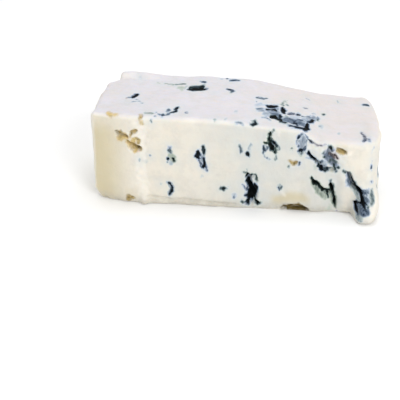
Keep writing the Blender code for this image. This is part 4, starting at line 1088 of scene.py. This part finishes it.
class Nodes:
    # a short way to add nodes to one material and link them
    def __init__(self, name):
        self.material = bpy.data.materials.new(name)
        self.material.use_nodes = True
        self.tree = self.material.node_tree
        self.shader = self.tree.nodes["Principled BSDF"]
        self.column = 0

    def add(self, kind, inputs=None, **settings):
        node = self.tree.nodes.new(kind)
        self.column += 1
        node.location = (-2400 + 180 * (self.column % 12), 600 - 220 * (self.column // 12))
        for key, value in settings.items():
            setattr(node, key, value)
        for key, value in (inputs or {}).items():
            self.put(node.inputs[key], value)
        return node

    def put(self, socket, value):
        if isinstance(value, bpy.types.NodeSocket):
            self.tree.links.new(value, socket)
        elif socket.type == "RGBA":
            socket.default_value = (*value, 1.0)
        else:
            socket.default_value = value

    def attribute(self, name):
        return self.add("ShaderNodeAttribute", attribute_name=name).outputs["Fac"]

    def math(self, operation, *values, clamp=False):
        inputs = dict(enumerate(values))
        return self.add("ShaderNodeMath", inputs, operation=operation, use_clamp=clamp).outputs[0]

    def mapRange(self, value, low, high, toLow=0.0, toHigh=1.0):
        return self.add(
            "ShaderNodeMapRange",
            {"Value": value, "From Min": low, "From Max": high, "To Min": toLow, "To Max": toHigh},
            interpolation_type="SMOOTHSTEP",
        ).outputs["Result"]

    def mixColour(self, share, first, second):
        node = self.add("ShaderNodeMix", data_type="RGBA")
        self.put(node.inputs[0], share)
        self.put(node.inputs[6], first)
        self.put(node.inputs[7], second)
        return node.outputs[2]

    def mixValue(self, share, first, second):
        node = self.add("ShaderNodeMix", data_type="FLOAT")
        self.put(node.inputs[0], share)
        self.put(node.inputs[2], first)
        self.put(node.inputs[3], second)
        return node.outputs[0]

    def noise(self, vector, size, detail=3.0, distortion=0.0, rough=0.55):
        return self.add(
            "ShaderNodeTexNoise",
            {
                "Vector": vector,
                "Scale": 1.0 / (size * mm),
                "Detail": detail,
                "Roughness": rough,
                "Distortion": distortion,
            },
        ).outputs[0]

    def ramp(self, value, stops):
        node = self.add("ShaderNodeValToRGB", {"Fac": value})
        stopsHere = node.color_ramp.elements
        while len(stopsHere) < len(stops):
            stopsHere.new(0.5)
        for stop, (place, colour) in zip(stopsHere, stops):
            stop.position = place
            stop.color = (*colour, 1.0)
        return node.outputs["Color"]

    def stretched(self, scale):
        place = self.add("ShaderNodeTexCoord").outputs["Object"]
        return self.add("ShaderNodeMapping", {"Vector": place, "Scale": scale}).outputs["Vector"]


def cheeseMaterial():
    n = Nodes("veined curd")
    plain = n.stretched((1.0, 1.0, 1.0))
    upright = n.stretched((1.0, 1.0, 0.45))
    along = n.stretched((0.40, 0.8, 1.0))
    upward = n.attribute("upward")
    vein, dark = n.attribute("vein"), n.attribute("dark")
    hue, blur = n.attribute("hue"), n.attribute("blur")

    # the veins' outline, broken up finely and drawn out the way the wire went
    frayFront = n.noise(upright, cheese["fraySize"], detail=5.0, rough=0.65)
    frayTop = n.noise(along, cheese["fraySize"], detail=5.0, rough=0.65)
    fray = n.math("SUBTRACT", n.mixValue(upward, frayFront, frayTop), 0.5)
    edge = n.math("ADD", vein, n.math("MULTIPLY_ADD", fray, 2.0 * cheese["edgeNoise"], cheese["spread"]))
    inside = n.mapRange(edge, n.math("MULTIPLY", blur, -1.0), blur)
    swirlFront = n.noise(upright, cheese["swirlSize"], distortion=0.6)
    swirlTop = n.noise(along, cheese["swirlSize"], distortion=0.6)
    swirl = n.mapRange(n.mixValue(upward, swirlFront, swirlTop), 0.32, 0.68)
    unevenness = n.math("MULTIPLY", n.math("SUBTRACT", swirl, 0.45), n.mixValue(dark, 0.55, 0.2))
    veinDensity = n.math("MULTIPLY", inside, n.math("ADD", dark, unevenness), clamp=True)

    # the haze round them, in faint swirls
    hazeShare = n.math("ADD", n.math("MULTIPLY", swirl, 0.4), n.math("MULTIPLY_ADD", fray, 0.7, 0.75))
    hazeDensity = n.math("MULTIPLY", n.attribute("haze"), hazeShare, clamp=True)
    fringe = n.math("POWER", n.mapRange(edge, -cheese["bleedReach"], 0.3), cheese["bleedPower"])
    fringe = n.math("MULTIPLY", fringe, n.math("MULTIPLY", dark, cheese["bleed"]))
    veinDensity = n.math("MAXIMUM", veinDensity, n.math("MULTIPLY", fringe, n.math("ADD", swirl, 0.6)))
    density = n.math("MAXIMUM", veinDensity, hazeDensity)
    inVein = n.math("GREATER_THAN", veinDensity, hazeDensity)
    hueHere = n.math("MULTIPLY_ADD", fray, 0.8, n.mixValue(inVein, n.attribute("hazeHue"), hue))
    mouldColour = n.mixColour(
        n.math("MULTIPLY", hueHere, 1.0, clamp=True),
        n.ramp(density, cheese["blueRamp"]),
        n.ramp(density, cheese["greenRamp"]),
    )
    brownShare = n.math("MULTIPLY", hueHere, -1.0, clamp=True)
    mouldColour = n.mixColour(brownShare, mouldColour, n.ramp(density, cheese["brownRamp"]))

    # the curd: cream on the sides, cooler on top, tan and painted shade at the thick end, mottled, with
    # painted shade at the base and painted highlights on the rims
    wide = n.stretched((0.5, 1.0, 1.0))
    mottle = n.mapRange(n.noise(wide, cheese["mottleSize"], detail=4.0), 0.3, 0.7)
    fine = n.noise(plain, cheese["fineSize"], detail=4.0, rough=0.6)
    greyShare = n.math("MULTIPLY", n.attribute("grey"), n.math("MULTIPLY_ADD", mottle, 0.6, 0.5))
    sideColour = n.mixColour(greyShare, cheese["cream"], cheese["greyCream"])
    across = n.add("ShaderNodeSeparateXYZ", {"Vector": plain}).outputs["X"]
    drawn = n.stretched((0.12, 0.7, 1.0))
    streaks = n.mapRange(n.noise(drawn, cheese["streakSize"], detail=4.0), 0.3, 0.7, -0.35, 0.35)
    pinkness = n.math("ADD", n.mapRange(across, 0.0, 30.0 * mm, 0.1, 0.75), streaks)
    pinkness = n.math("ADD", pinkness, n.math("MULTIPLY_ADD", mottle, 0.6, -0.3), clamp=True)
    topColour = n.mixColour(pinkness, cheese["topBlue"], cheese["topPink"])
    curdColour = n.mixColour(n.math("MULTIPLY", upward, cheese["topShare"]), sideColour, topColour)
    patches = n.noise(plain, cheese["patchSize"], detail=6.0, rough=0.7)
    curdColour = n.mixColour(n.mapRange(patches, 0.4, 0.7, 0.0, 0.4), curdColour, cheese["patch"])
    # the tan at the thick end and the warm marks, both partly painted shade
    curdColour = n.mixColour(n.attribute("warmAndShade"), curdColour, cheese["tanAndShade"])
    # painted shade towards the base of the sides, broken up by the patches
    baseShadeShare = n.math("MULTIPLY", n.attribute("baseShade"), n.mapRange(patches, 0.3, 0.6, 0.3, 0.9))
    curdColour = n.mixColour(baseShadeShare, curdColour, cheese["baseShade"])
    # pale curd and painted highlights
    paleShare = n.math("MULTIPLY", n.attribute("pale"), cheese["paleShare"])
    curdColour = n.mixColour(paleShare, curdColour, cheese["pale"])
    halo = n.math("MULTIPLY", n.mapRange(edge, -cheese["haloReach"], 0.4), cheese["haloShare"])
    curdColour = n.mixColour(halo, curdColour, cheese["halo"])
    holeEdge = n.math("ADD", n.attribute("curd"), n.math("MULTIPLY_ADD", fray, 1.4, 0.3))
    # olive in the holes, partly painted shade; at full share it paints the shadow in the hollow under the
    # front
    oliveAndShadeShare = n.math("MULTIPLY_ADD", n.math("SUBTRACT", fine, 0.5), 1.6, n.attribute("curdOliveAndShade"))
    oliveAndShadeShare = n.math("MULTIPLY", oliveAndShadeShare, 1.0, clamp=True)
    holeColour = n.mixColour(oliveAndShadeShare, cheese["straw"], cheese["oliveAndShade"])
    curdColour = n.mixColour(n.mapRange(holeEdge, -0.7, 0.7), curdColour, holeColour)

    cover = n.mapRange(density, *cheese["coveredBetween"])
    n.put(n.shader.inputs["Base Color"], n.mixColour(cover, curdColour, mouldColour))
    roughness = n.mixValue(cover, cheese["roughness"], cheese["mouldRoughness"])
    n.put(n.shader.inputs["Roughness"], roughness)
    n.put(n.shader.inputs["Specular IOR Level"], cheese["specular"])
    n.put(n.shader.inputs["Subsurface Weight"], cheese["subsurface"])
    n.put(n.shader.inputs["Subsurface Radius"], [r * mm for r in cheese["subsurfaceRadius"]])
    n.put(n.shader.inputs["Subsurface Scale"], 1.0)

    height = n.math("ADD", n.math("MULTIPLY", fine, 0.7), n.math("MULTIPLY", fray, 0.6))
    strength, depth = cheese["bumpStrength"], cheese["bumpDepth"] * mm
    bump = n.add("ShaderNodeBump", {"Height": height, "Strength": strength, "Distance": depth})
    n.put(n.shader.inputs["Normal"], bump.outputs["Normal"])
    return n.material


piece, middle = buildSlab()
piece.data.materials.append(cheeseMaterial())
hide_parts("gorgonzola_slab")
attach(piece, "root")
print("slab: finished")


# Floor, light and camera

studio = {
    "floorColour": (0.95, 0.95, 0.95),
    "floorRoughness": 0.9,
    "floorHalf": 4.0,  # in metres
    "world": 0.74,
    "lightsAim": (0.0, 0.0, 0.02),
    "lights": [
        # name, where it stands, its width, its power in watts
        ("key", (0.5, -0.8, 0.55), 0.45, 4.2),
        ("overhead", (0.0, 0.2, 1.1), 0.9, 4.0),
    ],
    "lens": 72.0,
    "elevation": 28.0,
    "azimuth": 6.0,
    "distance": 372.0,
    "target": (-17.0, -20.5, 0.0),  # in the slab's own frame, before it was centred
}


def pointAt(thing, place, target):
    thing.location = place
    thing.rotation_euler = (Vector(target) - Vector(place)).to_track_quat("-Z", "Y").to_euler()


def buildStudio():
    work = bmesh.new()
    bmesh.ops.create_grid(work, x_segments=1, y_segments=1, size=studio["floorHalf"])
    mesh = bpy.data.meshes.new("floor")
    work.to_mesh(mesh)
    work.free()
    floor = bpy.data.objects.new("floor", mesh)
    bpy.context.scene.collection.objects.link(floor)
    n = Nodes("pale floor")
    n.put(n.shader.inputs["Base Color"], studio["floorColour"])
    n.put(n.shader.inputs["Roughness"], studio["floorRoughness"])
    mesh.materials.append(n.material)

    world = bpy.data.worlds.new("soft white room")
    bpy.context.scene.world = world
    world.use_nodes = True
    world.node_tree.nodes["Background"].inputs["Color"].default_value = (1.0, 1.0, 1.0, 1.0)
    world.node_tree.nodes["Background"].inputs["Strength"].default_value = studio["world"]

    for name, place, width, power in studio["lights"]:
        light = bpy.data.lights.new(name, "AREA")
        light.shape = "DISK"
        light.size = width
        light.energy = power
        lamp = bpy.data.objects.new(name, light)
        bpy.context.scene.collection.objects.link(lamp)
        pointAt(lamp, place, studio["lightsAim"])

    lens = bpy.data.cameras.new("camera")
    lens.lens = studio["lens"]
    lens.sensor_width = 36.0
    lens.clip_start = 0.01
    camera = bpy.data.objects.new("camera", lens)
    bpy.context.scene.collection.objects.link(camera)
    azimuth, elevation = math.radians(studio["azimuth"]), math.radians(studio["elevation"])
    target = (Vector(studio["target"]) - Vector((middle[0], middle[1], 0.0))) * mm
    away = Vector((
        math.sin(azimuth) * math.cos(elevation),
        -math.cos(azimuth) * math.cos(elevation),
        math.sin(elevation),
    ))
    pointAt(camera, target + away * studio["distance"] * mm, target)
    bpy.context.scene.camera = camera
    bpy.context.scene.view_settings.view_transform = "Standard"
    bpy.context.scene.view_settings.look = "None"


buildStudio()
print("studio: floor, lights and camera set")
